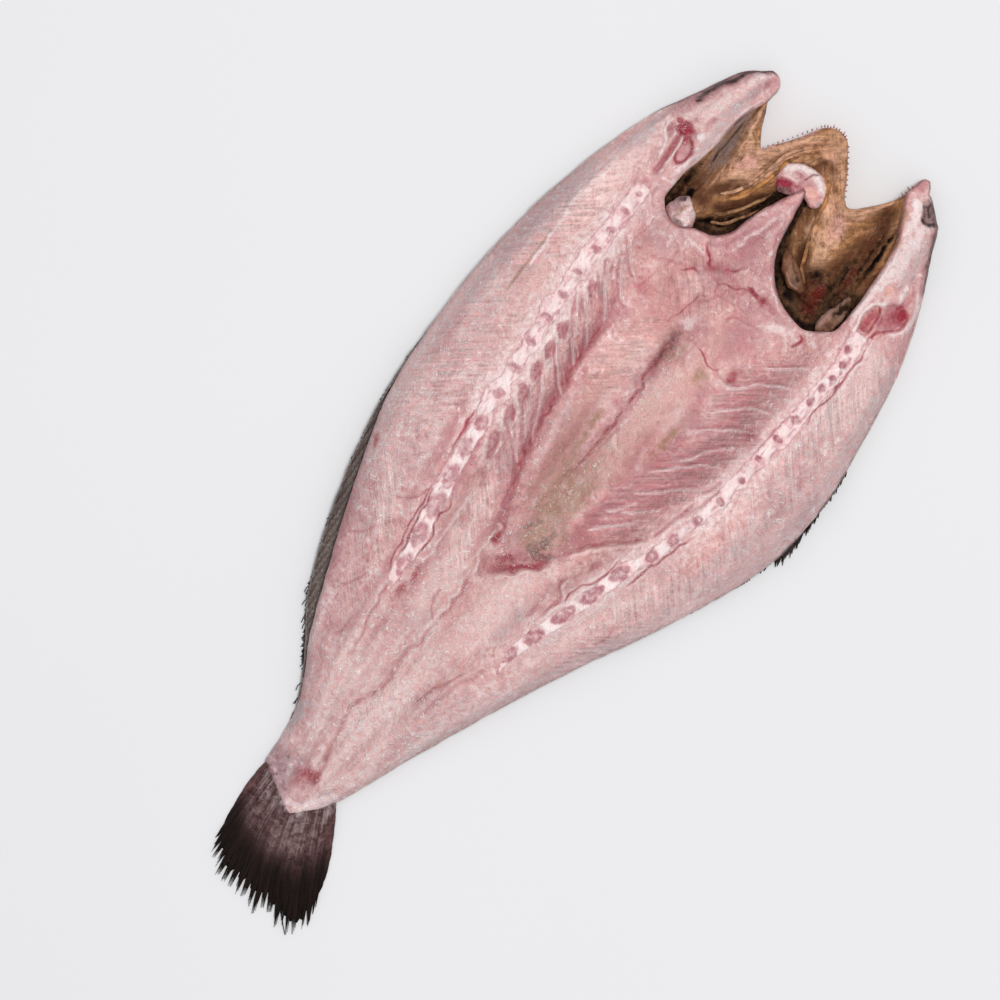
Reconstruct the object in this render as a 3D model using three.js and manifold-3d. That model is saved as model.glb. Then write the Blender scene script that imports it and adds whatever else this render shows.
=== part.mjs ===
// A large croaker, slit along the back, opened flat and half dried, lying on its skin.
// Millimetres, +Z up. The drawing axes run +X towards the snout and +Y towards the fish's left half,
// from a point on the belly line at mid length; the finished fish is then centred on its own box.
import * as THREE from 'three';
import { mergeVertices } from 'three/addons/utils/BufferGeometryUtils.js';
import Module from 'manifold-3d';

const wasm = await Module();
wasm.setup();

// Driving dimensions of the flesh.
const SPINE_HEIGHT = 30; // halved backbone, the highest line of each side
const LOIN_HEIGHT = 26; // back muscle between the backbone and the slit edge
const EDGE_HEIGHT = 9; // rolled skin edge of the slit
const BELLY_HEIGHT = 13; // belly wall on each side of the belly line
const BELLY_LINE_HEIGHT = 9;
const FLAP_HEIGHT = 17; // throat flap that runs forward between the gill openings
const SKIN_ROLL = 13; // radius of the rounded lower edge

// Driving dimensions of the mouth and the gill openings.
const POCKET_FLOOR = 4;
const JAW_RIM_HEIGHT = 17;
const JAW_RIM_WIDTH = 9;
const CHEEK_HEIGHT = 14;
const TONGUE = { x: 217, y: -8, rx: 9, ry: 14, rz: 9, z: 11 };

// Driving dimensions of the backbone and the tail fin.
const VERTEBRA_RADIUS = 5.6;
const VERTEBRA_WAIST = 3.8;
const VERTEBRA_SIDES = 8;
const VERTEBRA_PITCH = 17;
const DISC_GAP = 3.7;
const LEFT_VERTEBRAE = { from: -87, to: 168 };
const RIGHT_VERTEBRAE = { from: -97, to: 158 };
const FIN_THICKNESS = 1.6;
const FIN_RAYS = 15;
const FIN_RAY_RADIUS = 1.8;
const FIN_RAY_TIP = 0.8;
const FIN_RAY_SIDES = 6;
const FIN_ROOT = [-196, 30];
const FIN_TIPS = { first: 2, last: 9 }; // corners of the outline that the rays fan out to

const FLESH_CELLS = [52, 26]; // facets of the relief along and across the body
const MOUTH_CELLS = [20, 24];
const TONGUE_CELLS = [12, 8];
const EDGE_CROWDING = 0.35; // share of the facets across that gather at the two edges
const CLEAR = 5; // how far a cutting prism stands past what it cuts

// Plan lines as stations [x, y]. Each is read as a smooth function of x.
const LEFT_EDGE = [
  [-232, 53], [-212, 53.5], [-180, 56], [-158, 66], [-120, 88], [-70, 104], [-10, 115],
  [50, 115], [100, 110.5], [150, 100], [200, 83], [230, 66], [250, 54], [259, 41],
];
const RIGHT_EDGE = [
  [-232, 14], [-208, 7.5], [-170, -9.5], [-130, -28.5], [-80, -54], [-30, -82.5], [10, -103],
  [40, -114], [80, -119], [120, -116], [160, -111], [200, -99.5], [225, -88.5], [240, -83],
  [251, -72], [258, -64],
];
const LEFT_SPINE = [
  [-215, 32], [-150, 47], [-85, 53], [-44, 57], [9, 62.5], [60, 64], [110, 64], [160, 61],
  [205, 58], [235, 51], [256, 43],
];
const RIGHT_SPINE = [
  [-215, 20], [-150, 1], [-88, -23.5], [-53, -34], [1, -56], [47, -69.5], [92, -77],
  [140, -81], [200, -84], [240, -73], [256, -66],
];
const BELLY_LINE = [
  [-215, 27], [-150, 26], [-95, 18], [-50, 12], [0, 6], [60, 2], [120, -2], [215, -10],
];

// Height of the flesh along the body, as a share of its height at mid body.
const FULLNESS = [
  [-232, 0.08], [-218, 0.24], [-200, 0.42], [-150, 0.64], [-90, 0.84], [-20, 1], [110, 1],
  [160, 0.94], [210, 0.84], [240, 0.66], [259, 0.42],
];

// Front of the flesh: inner side of the left skull half, left gill opening, throat flap,
// right gill opening, inner side of the right skull half.
const FLESH_FRONT = [
  [257, 36], [251, 33], [243, 34], [235, 37.5], [215, 42.5], [195, 46], [178, 49.5], [168, 50.3],
  [161, 45], [159, 36], [163, 26], [166, 16], [174, 8.5], [188, 4], [200, -1.5], [215, -11],
  [200, -14], [180, -17], [168, -23], [158, -33], [153, -44], [151.5, -53], [157, -66], [168, -70],
  [205, -70.5], [222, -68.5], [240, -61], [250, -59], [256, -60.5],
];
const LEFT_TIP = [259, 40];
const RIGHT_TIP = [258, -63.5];
const PLAN_LIMIT = 125; // trimming outlines run out to here on both sides, past the slit edges
const FLESH_TAIL = [[-212, 60], [-216, 48], [-228, 26], [-218, 16], [-207, 5]];
const FLESH_START = -230;

// Front of the mouth: upper lip, corner, lower jaw with the chin in the middle, corner, upper lip.
const MOUTH_FRONT = [
  [243, 34], [232, 30], [222, 25], [219, 21], [231, 11.5], [241, 4.5], [249, -2], [252, -8],
  [249, -15], [241, -21], [231, -27], [222, -32.5], [220, -37], [231, -49], [240, -56], [248, -60],
];
const MOUTH_BACK = [
  [240, -70], [205, -78], [160, -78], [142, -60], [142, 40], [160, 58], [200, 56], [235, 48],
];
const MOUTH_SPAN = { from: 142, to: 254, right: -80, left: 60 };
const FIN_OUTLINE = [
  [-196, 51], [-225, 54.5], [-250, 53.5], [-264, 50], [-274, 43], [-278, 28], [-279, 10],
  [-281, -6], [-277, -17], [-262, -14], [-245, -10.5], [-225, -2], [-200, 11],
];

// Ridges of the mouth floor: [stations, half width, height].
const LOWER_JAW = [[217, 24], [230, 13], [243, 4], [250, -8], [243, -19], [230, -27], [218, -37]];
const HYOID_ARCH = [
  [176, 32], [190, 17], [208, 9], [226, 2], [231, -9], [222, -23], [203, -29], [182, -37],
];
const LEFT_CHEEK = [[240, 35], [224, 30], [208, 24], [190, 27], [176, 33]];
const LEFT_PALATE = [[235, 40], [215, 42], [190, 47]];
const RIGHT_CHEEK = [[218, -38], [204, -42], [188, -44], [176, -50]];
const RIGHT_PALATE = [[232, -49], [244, -58], [228, -64], [205, -68]];
const MOUTH_RIDGES = [
  [LOWER_JAW, JAW_RIM_WIDTH, JAW_RIM_HEIGHT],
  [HYOID_ARCH, 7, CHEEK_HEIGHT],
  [LEFT_CHEEK, 11, CHEEK_HEIGHT],
  [LEFT_PALATE, 7, CHEEK_HEIGHT],
  [RIGHT_CHEEK, 11, CHEEK_HEIGHT],
  [RIGHT_PALATE, 8, CHEEK_HEIGHT + 1],
];

// A smooth function of x through stations: cubic pieces whose slopes are those of the chords.
function through(stations) {
  const slope = (i) => {
    const a = stations[Math.max(0, i - 1)];
    const b = stations[Math.min(stations.length - 1, i + 1)];
    return (b[1] - a[1]) / (b[0] - a[0]);
  };
  return (x) => {
    let i = 0;
    while (i < stations.length - 2 && x > stations[i + 1][0]) i += 1;
    const [x0, y0] = stations[i];
    const [x1, y1] = stations[i + 1];
    const t = THREE.MathUtils.clamp((x - x0) / (x1 - x0), 0, 1);
    const run = x1 - x0;
    const h = t * t * (3 - 2 * t);
    return y0 + (y1 - y0) * h + run * t * (1 - t) * ((1 - t) * slope(i) - t * slope(i + 1));
  };
}

const leftEdge = through(LEFT_EDGE);
const rightEdge = through(RIGHT_EDGE);
const leftSpine = through(LEFT_SPINE);
const rightSpine = through(RIGHT_SPINE);
const bellyLine = through(BELLY_LINE);
const fullness = through(FULLNESS);

const blend = (x, from, to) => THREE.MathUtils.smoothstep(x, from, to);
const mix = THREE.MathUtils.lerp;

// Height on a smooth line through [offset, height] knots taken in order.
function heightAcross(knots, y) {
  let i = 0;
  while (i < knots.length - 2 && y > knots[i + 1][0]) i += 1;
  const [y0, z0] = knots[i];
  const [y1, z1] = knots[i + 1];
  return mix(z0, z1, blend(y, y0, y1));
}

// Upper side of the flesh: slit edge, loin, halved backbone, belly wall, belly line and back up.
function fleshTop(x, y) {
  const full = fullness(x);
  const opened = blend(x, -70, -15); // behind the vent the two halves are solid muscle
  const throat = blend(x, 120, 170);
  const middle = bellyLine(x);
  const belly = mix(BELLY_HEIGHT, FLAP_HEIGHT, throat);
  const wall = mix(LOIN_HEIGHT * full * 0.92, belly, opened);
  const line = mix(LOIN_HEIGHT * full * 0.7, mix(BELLY_LINE_HEIGHT, FLAP_HEIGHT, throat), opened);
  const spine = SPINE_HEIGHT * full;
  const loin = LOIN_HEIGHT * full;
  const half = (edge, ridge) => [
    [edge, EDGE_HEIGHT * full + 1],
    [mix(edge, ridge, 0.3), loin * 0.86],
    [mix(edge, ridge, 0.62), loin],
    [mix(edge, ridge, 0.86), spine * 0.97],
    [mix(ridge, middle, 0.1), spine],
    [mix(ridge, middle, 0.42), wall],
    [mix(ridge, middle, 0.7), wall],
  ];
  const right = half(rightEdge(x), rightSpine(x));
  const left = half(leftEdge(x), leftSpine(x)).reverse();
  return heightAcross([...right, [middle, line], ...left], y);
}

// Skin side: flat where it lies, rounded up to the slit edges.
function skinSide(x, y) {
  const roll = Math.min(SKIN_ROLL, (leftEdge(x) - rightEdge(x)) * 0.25);
  const inset = Math.min(leftEdge(x) - y, y - rightEdge(x));
  const lean = THREE.MathUtils.clamp(1 - inset / roll, 0, 1);
  return EDGE_HEIGHT * fullness(x) * 0.8 * (1 - Math.sqrt(1 - lean * lean));
}

// Distance in plan from a point to a line of stations.
function distanceTo(stations, x, y) {
  const point = new THREE.Vector3(x, y, 0);
  const nearest = new THREE.Vector3();
  let least = Infinity;
  for (let i = 0; i < stations.length - 1; i += 1) {
    const start = new THREE.Vector3(...stations[i], 0);
    const end = new THREE.Vector3(...stations[i + 1], 0);
    new THREE.Line3(start, end).closestPointToPoint(point, true, nearest);
    least = Math.min(least, nearest.distanceTo(point));
  }
  return least;
}

// Mouth floor: the pockets of the gill openings, with the jaw, the hyoid arch and the cheeks
// standing in it.
function mouthTop(x, y) {
  const heights = MOUTH_RIDGES.map(([stations, width, height]) => {
    const away = distanceTo(stations, x, y) / width;
    return (height - POCKET_FLOOR) * Math.exp(-away * away);
  });
  return POCKET_FLOOR + Math.max(...heights);
}

// A three.js geometry as a manifold solid.
function solid(geometry) {
  const bare = geometry.clone();
  bare.deleteAttribute('normal');
  bare.deleteAttribute('uv');
  const merged = mergeVertices(bare, 1e-4);
  return new wasm.Manifold(
    new wasm.Mesh({
      numProp: 3,
      vertProperties: new Float32Array(merged.attributes.position.array),
      triVerts: new Uint32Array(merged.index.array),
    }),
  );
}

// A slab between two height functions, as a box whose vertices are moved. Its two long sides follow
// the edge functions, and its facets gather towards them.
function slab({ from, to, right, left, cells, top, bottom }) {
  const box = new THREE.BoxGeometry(to - from, 2, 2, ...cells, 1);
  box.translate((from + to) / 2, 0, 0);
  const at = box.attributes.position;
  for (let i = 0; i < at.count; i += 1) {
    const x = at.getX(i);
    const across = mix(at.getY(i), Math.sin((at.getY(i) * Math.PI) / 2), EDGE_CROWDING);
    const y = mix(right(x), left(x), (across + 1) / 2);
    const side = at.getZ(i) > 0 ? top : bottom;
    at.setXYZ(i, x, y, side(x, y));
  }
  return solid(box);
}

// An upright prism over a closed outline, for trimming a slab.
function prism(points, height) {
  const shape = new THREE.Shape(points.map(([x, y]) => new THREE.Vector2(x, y)));
  const block = new THREE.ExtrudeGeometry(shape, { depth: height + 2 * CLEAR, bevelEnabled: false });
  block.translate(0, 0, -CLEAR);
  return solid(block);
}

// The two opened halves with the skull halves. The prism trims the front and the tail end only.
function flesh() {
  const plan = [
    [FLESH_TAIL[0][0], PLAN_LIMIT],
    ...FLESH_TAIL,
    [FLESH_TAIL.at(-1)[0], -PLAN_LIMIT],
    [RIGHT_TIP[0], -PLAN_LIMIT],
    RIGHT_TIP,
    ...[...FLESH_FRONT].reverse(),
    LEFT_TIP,
    [LEFT_TIP[0], PLAN_LIMIT],
  ];
  const relief = slab({
    from: FLESH_START,
    to: LEFT_TIP[0],
    right: rightEdge,
    left: leftEdge,
    cells: FLESH_CELLS,
    top: fleshTop,
    bottom: skinSide,
  });
  return relief.intersect(prism(plan, SPINE_HEIGHT));
}

// Mouth lining, lower jaw and the floors of the gill openings.
function mouth() {
  const relief = slab({
    from: MOUTH_SPAN.from,
    to: MOUTH_SPAN.to,
    right: () => MOUTH_SPAN.right,
    left: () => MOUTH_SPAN.left,
    cells: MOUTH_CELLS,
    top: mouthTop,
    bottom: () => 0,
  });
  return relief.intersect(prism([...MOUTH_FRONT, ...MOUTH_BACK], SPINE_HEIGHT));
}

function tongue() {
  const ball = new THREE.SphereGeometry(1, ...TONGUE_CELLS);
  ball.scale(TONGUE.rx, TONGUE.ry, TONGUE.rz);
  ball.translate(TONGUE.x, TONGUE.y, TONGUE.z);
  return solid(ball);
}

// One vertebra: two cones meeting at a waist, lying along the backbone.
function vertebra(x, spine, length) {
  const end = length / 2;
  const profile = [
    new THREE.Vector2(0, -end),
    new THREE.Vector2(VERTEBRA_RADIUS, -end),
    new THREE.Vector2(VERTEBRA_WAIST, 0),
    new THREE.Vector2(VERTEBRA_RADIUS, end),
    new THREE.Vector2(0, end),
  ];
  const body = new THREE.LatheGeometry(profile, VERTEBRA_SIDES);
  body.rotateZ(Math.atan2(spine(x + 1) - spine(x), 1) - Math.PI / 2);
  body.translate(x, spine(x), SPINE_HEIGHT * fullness(x) - VERTEBRA_RADIUS + 1);
  return solid(body);
}

// The halved backbone of one side, from the last vertebra that shows to the skull.
function backbone(spine, { from, to }) {
  const count = Math.round((to - from) / VERTEBRA_PITCH);
  const length = VERTEBRA_PITCH - DISC_GAP;
  return Array.from({ length: count }, (_, i) => vertebra(from + (i + 0.5) * VERTEBRA_PITCH, spine, length));
}

// Tail fin: a thin web with a fan of rays.
function tailFin() {
  const corners = FIN_OUTLINE.map(([x, y]) => new THREE.Vector2(x, y));
  const web = new THREE.ExtrudeGeometry(new THREE.Shape(corners), {
    depth: FIN_THICKNESS,
    bevelEnabled: false,
  });
  const tips = new THREE.SplineCurve(corners.slice(FIN_TIPS.first, FIN_TIPS.last + 1));
  const root = new THREE.Vector2(...FIN_ROOT);
  const rays = Array.from({ length: FIN_RAYS }, (_, i) => {
    const way = tips.getPoint((i + 0.5) / FIN_RAYS).sub(root);
    const reach = way.length() - CLEAR;
    const ray = new THREE.CylinderGeometry(FIN_RAY_TIP, FIN_RAY_RADIUS, reach, FIN_RAY_SIDES);
    ray.translate(0, reach / 2, 0);
    ray.rotateZ(way.angle() - Math.PI / 2);
    ray.translate(root.x, root.y, FIN_THICKNESS);
    return solid(ray);
  });
  const below = new THREE.BoxGeometry(4 * PLAN_LIMIT, 2 * PLAN_LIMIT, 2 * CLEAR);
  below.translate(root.x, 0, -CLEAR);
  return rays.reduce((fin, ray) => fin.add(ray), solid(web)).subtract(solid(below));
}

// A manifold solid as a three.js geometry.
function geometryOf(made) {
  const { vertProperties, triVerts } = made.getMesh();
  const geometry = new THREE.BufferGeometry();
  geometry.setAttribute('position', new THREE.BufferAttribute(new Float32Array(vertProperties), 3));
  geometry.setIndex(new THREE.BufferAttribute(new Uint32Array(triVerts), 1));
  geometry.computeVertexNormals();
  return geometry;
}

const pieces = [
  flesh(),
  mouth(),
  tongue(),
  tailFin(),
  ...backbone(leftSpine, LEFT_VERTEBRAE),
  ...backbone(rightSpine, RIGHT_VERTEBRAE),
];
const body = geometryOf(pieces.reduce((whole, piece) => whole.add(piece)));
body.computeBoundingBox();
const middle = body.boundingBox.getCenter(new THREE.Vector3());
body.translate(-middle.x, -middle.y, -body.boundingBox.min.z);

const fish = new THREE.Mesh(
  body,
  new THREE.MeshStandardMaterial({ color: 0xc99a9c, roughness: 0.55, metalness: 0 }),
);
fish.name = 'fish';

const croaker = new THREE.Group();
croaker.name = 'semi_dried_croaker';
croaker.add(fish);

export default croaker;
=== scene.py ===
"""A large croaker, slit along the back, opened flat and half dried, on a pale floor.

Lengths are in millimetres on the drawing, which runs +X towards the snout and +Y towards the fish's
left half. Chart turns them into metres in the frame.
"""

import sys

import logging
import math
from dataclasses import dataclass, field
from enum import Enum
from typing import Any, Callable, Iterable, Mapping, Sequence

import bmesh
import bpy
import numpy as np
from mathutils import Matrix, Vector
from mathutils.kdtree import KDTree

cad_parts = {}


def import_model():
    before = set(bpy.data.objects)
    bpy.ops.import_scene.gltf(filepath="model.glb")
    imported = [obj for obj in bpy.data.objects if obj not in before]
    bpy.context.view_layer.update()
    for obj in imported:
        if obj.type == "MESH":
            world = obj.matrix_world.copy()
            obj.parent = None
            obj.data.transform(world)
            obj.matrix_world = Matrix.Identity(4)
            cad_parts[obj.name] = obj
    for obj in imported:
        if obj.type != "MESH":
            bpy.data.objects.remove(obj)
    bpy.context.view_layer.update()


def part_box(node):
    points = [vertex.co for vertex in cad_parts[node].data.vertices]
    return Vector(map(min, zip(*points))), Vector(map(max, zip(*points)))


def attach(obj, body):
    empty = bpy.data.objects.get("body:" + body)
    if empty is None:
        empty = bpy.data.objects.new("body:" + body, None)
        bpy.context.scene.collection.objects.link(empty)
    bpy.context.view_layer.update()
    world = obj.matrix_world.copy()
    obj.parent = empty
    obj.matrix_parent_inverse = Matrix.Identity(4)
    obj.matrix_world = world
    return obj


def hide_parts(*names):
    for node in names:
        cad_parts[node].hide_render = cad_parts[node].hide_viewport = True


log = logging.getLogger("croaker")

Point = tuple[float, float]
Line = Sequence[Point]
Colour = tuple[float, float, float]
Array = np.ndarray
Piece = bpy.types.Object

NODE = "fish"
BODY = "root"
MM = 0.001

# ---- drawing

# Plan lines as stations [x, y]; each is read as a smooth function of x.
LEFT_EDGE: Line = (
    (-232, 53), (-212, 53.5), (-180, 56), (-158, 66), (-120, 88), (-70, 104), (-10, 115), (50, 115),
    (100, 110.5), (150, 100), (200, 82.5), (230, 65.5), (250, 53.5), (259, 41),
)
RIGHT_EDGE: Line = (
    (-232, 14), (-208, 7.5), (-170, -9.5), (-130, -28.5), (-80, -54), (-30, -82.5), (10, -103), (40, -114),
    (80, -119), (120, -116), (160, -111), (200, -99.5), (225, -88.8), (240, -83), (251, -72), (258, -64),
)
LEFT_SPINE: Line = (
    (-215, 32), (-150, 47), (-85, 53), (-44, 57), (9, 62.5), (60, 64), (110, 64), (160, 61), (205, 58),
    (235, 51), (256, 43),
)
RIGHT_SPINE: Line = (
    (-215, 20), (-150, 1), (-88, -23.5), (-53, -34), (1, -56), (47, -69.5), (92, -77), (140, -81),
    (200, -84), (240, -73), (256, -66),
)
BELLY_LINE: Line = (
    (-215, 27), (-150, 26), (-95, 18), (-50, 12), (0, 6), (60, 2), (120, -2), (215, -10),
)
FULLNESS: Line = (
    (-232, 0.08), (-218, 0.24), (-200, 0.42), (-150, 0.64), (-90, 0.84), (-20, 1), (110, 1), (160, 0.94),
    (210, 0.84), (240, 0.66), (259, 0.42),
)

SPINE_HEIGHT = 30.0
LOIN_HEIGHT = 26.0
EDGE_HEIGHT = 9.0
BELLY_HEIGHT = 13.0
BELLY_LINE_HEIGHT = 9.0
FLAP_HEIGHT = 17.0
SKIN_ROLL = 13.0
POCKET_FLOOR = 4.0


def mix(low: Any, high: Any, share: Any) -> Any:
    """A value part of the way from one to the other."""
    return low + (high - low) * share


def smooth(value: Any, low: Any, high: Any) -> Any:
    """Rises smoothly from 0 at low to 1 at high."""
    share = np.clip((value - low) / (high - low), 0.0, 1.0)
    return share * share * (3.0 - 2.0 * share)


def rounded(away: Any, radius: Any) -> Any:
    """How far a rounded edge drops, from 1 at the edge to 0 where away is radius."""
    lean = np.clip(1 - away / radius, 0, 1)
    return 1 - np.sqrt(1 - lean * lean)


def bearing(turn: float) -> Point:
    """Cosine and sine of an angle in degrees."""
    return math.cos(math.radians(turn)), math.sin(math.radians(turn))


def through(stations: Line) -> Callable[[Any], Array]:
    """A smooth function of x through stations.

    Args:
        stations: Points in order of x.

    Returns:
        A function that takes numbers or arrays.
    """
    xs, ys = np.array(stations, float).T
    before = np.maximum(np.arange(len(xs)) - 1, 0)
    after = np.minimum(np.arange(len(xs)) + 1, len(xs) - 1)
    slopes = (ys[after] - ys[before]) / (xs[after] - xs[before])

    def value(x: Any) -> Array:
        """Reads the line at x.

        Args:
            x: Where the line is read.

        Returns:
            The line's y there.
        """
        x = np.asarray(x, float)
        i = np.clip(np.searchsorted(xs, x, side="left") - 1, 0, len(xs) - 2)
        run = xs[i + 1] - xs[i]
        t = np.clip((x - xs[i]) / run, 0.0, 1.0)
        lean = run * t * (1 - t) * ((1 - t) * slopes[i] - t * slopes[i + 1])
        return ys[i] + (ys[i + 1] - ys[i]) * t * t * (3 - 2 * t) + lean

    return value


left_edge = through(LEFT_EDGE)
right_edge = through(RIGHT_EDGE)
left_spine = through(LEFT_SPINE)
right_spine = through(RIGHT_SPINE)
belly_line = through(BELLY_LINE)
fullness = through(FULLNESS)


def curve(points: Line, step: float = 1.0) -> Array:
    """Points at even steps along a smooth line through the given ones.

    Args:
        points: At least two points.
        step: Distance between the returned points.

    Returns:
        An array of points, the two ends included.
    """
    knots = np.array(points, float)
    if len(knots) > 2:
        padded = np.vstack([2 * knots[0] - knots[1], knots, 2 * knots[-1] - knots[-2]])
        t = np.linspace(0, 1, 9)[:-1, None]
        pieces = []
        for a, b, c, d in zip(padded, padded[1:], padded[2:], padded[3:]):
            bend = (2 * a - 5 * b + 4 * c - d) * t * t + (3 * b - a - 3 * c + d) * t**3
            pieces.append(0.5 * (2 * b + (c - a) * t + bend))
        knots = np.vstack([*pieces, knots[-1]])
    lengths = np.hypot(*np.diff(knots, axis=0)[:, :2].T)
    reach = np.concatenate([[0], np.cumsum(lengths)])
    marks = np.linspace(0, reach[-1], max(2, round(reach[-1] / step) + 1))
    return np.column_stack([np.interp(marks, reach, axis) for axis in knots.T])


def lattice(i: Array, j: Array, seed: int) -> Array:
    """A fixed number from 0 to 1 for each corner of a square lattice.

    Args:
        i: The corners' first numbers.
        j: Their second numbers.
        seed: Picks the pattern.

    Returns:
        Numbers from 0 to 1.
    """
    mask = 0xFFFFFFFF
    h = (i.astype(np.int64) * 374761393 + j.astype(np.int64) * 668265263 + seed * 974634777) & mask
    h = ((h ^ (h >> 13)) * 1274126177) & mask
    return ((h ^ (h >> 16)) & 0xFFFF) / 65535.0


def ripple(x: Array, y: Array, size: float, seed: int, octaves: int = 1) -> Array:
    """Smooth noise from -1 to 1.

    Args:
        x: First coordinates.
        y: Second coordinates.
        size: Width of its widest swellings, in the coordinates' unit.
        seed: Picks the pattern.
        octaves: How many times finer noise of half the strength is added.

    Returns:
        An array of the coordinates' shape.
    """
    total, weight = np.zeros(np.shape(x)), 0.0
    for octave in range(octaves):
        u, v = np.asarray(x) * 2**octave / size, np.asarray(y) * 2**octave / size
        i, j = np.floor(u), np.floor(v)
        s, t = u - i, v - j
        s, t = s * s * (3 - 2 * s), t * t * (3 - 2 * t)
        layer = seed * 31 + octave
        near = mix(lattice(i, j, layer), lattice(i + 1, j, layer), s)
        far = mix(lattice(i, j + 1, layer), lattice(i + 1, j + 1, layer), s)
        total += (2 * mix(near, far, t) - 1) / 2**octave
        weight += 1 / 2**octave
    return total / weight


def chance(row: float, column: float, seed: int, octaves: int = 1) -> float:
    """One number of the noise, from -1 to 1."""
    return float(ripple(np.array(float(row)), np.array(float(column)), 1.0, seed, octaves))


@dataclass(frozen=True)
class Chart:
    """Places the drawing in the frame.

    Attributes:
        low: Lowest corner of the solid fish, in metres.
        drawn: The same corner on the drawing.
    """

    low: Vector
    drawn: Point = (-281.0, -119.03)

    def metres(self, points: Array) -> Array:
        """Drawing positions [x, y, z] in millimetres as frame positions in metres."""
        shift = np.array([*self.drawn, 0.0])
        return (np.asarray(points, float) - shift) * MM + np.array(self.low)

    def spot(self, x: float, y: float, z: float = 0.0) -> Vector:
        """One drawing position as a frame position."""
        return Vector(self.metres(np.array([x, y, z])))


# ---- tints and features


class Tint(Enum):
    """A colour or a pattern that can be laid over a tissue. The value is its place in the masks."""

    ROSE = 0
    PALE = 1
    SALMON = 2
    GREY = 3
    BROWN = 4
    BLOOD = 5
    BONE = 6
    # DARK: near black; the real dark of fins, eyes, back skin and small spots, and painted shade in pockets,
    # grooves and under overhangs
    DARK = 7
    FROST = 8
    # DULL: dulls and greys the colour in zones such as the rear loin, and is painted shade along cut edges,
    # folds and hollows
    DULL = 9
    FALL = 10
    CLIMB = 11


ROSE, PALE, SALMON, GREY, BROWN, BLOOD, BONE, DARK, FROST, DULL, FALL, CLIMB = Tint
LAYERS = ("wash", "stain", "weave")
CHANNELS = 4  # masks in each layer
PAINTS = 8  # tints that hide each other, before the weaves that only add up


class Masks:
    """How strongly each tint covers each point."""

    def __init__(self, count: int) -> None:
        """Starts with no tint anywhere."""
        self.cover = np.zeros((count, len(Tint)))

    def lay(self, tint: Tint, weight: Array, where: Any = slice(None)) -> None:
        """Paints a tint over what is there; weaves such as frost only add up.

        Args:
            tint: The tint.
            weight: Its cover, from 0 to 1.
            where: The points that weight is for.
        """
        weight = np.clip(weight, 0, 1)
        if tint.value < PAINTS:
            self.cover[where, :PAINTS] *= (1 - 0.8 * weight)[..., None]
        column = self.cover[:, tint.value]
        column[where] = 1 - (1 - column[where]) * (1 - weight)


STRETCH = 8  # segments of a line that are tested together


@dataclass(frozen=True)
class Stroke:
    """A line on the surface, such as a vein, a groove or a rib.

    Attributes:
        path: Stations that it runs smoothly through.
        width: Half its width.
        tint: The tint that it carries.
        strength: The tint's cover at its middle.
        rise: Its height, or its depth below 0.
        fade: Share of its length over which each end thins out.
        hard: How flat its top is: 2 is round, 4 is flat with steep sides.
        wander: How far noise pushes it aside.
    """

    path: Line
    width: float
    tint: Tint | None = None
    strength: float = 1.0
    rise: float = 0.0
    fade: float = 0.15
    hard: float = 2.0
    wander: float = 0.5

    def weigh(self, x: Array, y: Array) -> tuple[Array, Array]:
        """Finds the points that it touches.

        Args:
            x: First coordinates.
            y: Second coordinates.

        Returns:
            The points' indices, and the line's weight at each, from 0 to 1.
        """
        line = curve(self.path, max(1.0, self.width))
        reach = 2.2 * self.width + self.wander
        low, high = line.min(axis=0) - reach, line.max(axis=0) + reach
        near = np.nonzero((x > low[0]) & (x < high[0]) & (y > low[1]) & (y < high[1]))[0]
        if not len(near):
            return near, np.zeros(0)
        px = x[near] + self.wander * ripple(x[near], y[near], 5.0, 11)
        py = y[near] + self.wander * ripple(x[near], y[near], 5.0, 12)
        best, share = np.full(len(near), np.inf), np.zeros(len(near))
        count = len(line) - 1
        for first in range(0, count, STRETCH):
            part = line[first : first + STRETCH + 1]
            low, high = part.min(axis=0) - reach, part.max(axis=0) + reach
            some = np.nonzero((px > low[0]) & (px < high[0]) & (py > low[1]) & (py < high[1]))[0]
            for i, ((ax, ay), (bx, by)) in enumerate(zip(part, part[1:])):
                dx, dy = bx - ax, by - ay
                ux, uy = px[some] - ax, py[some] - ay
                t = np.clip((ux * dx + uy * dy) / (dx * dx + dy * dy + 1e-9), 0, 1)
                away = np.hypot(ux - t * dx, uy - t * dy)
                closer = away < best[some]
                best[some] = np.where(closer, away, best[some])
                share[some] = np.where(closer, (first + i + t) / count, share[some])
        ends = np.minimum(share, 1 - share)
        thin = smooth(ends, -0.02, self.fade) if self.fade else np.ones(len(near))
        return near, np.exp(-((best / (self.width * mix(0.4, 1.0, thin))) ** self.hard)) * thin


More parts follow.
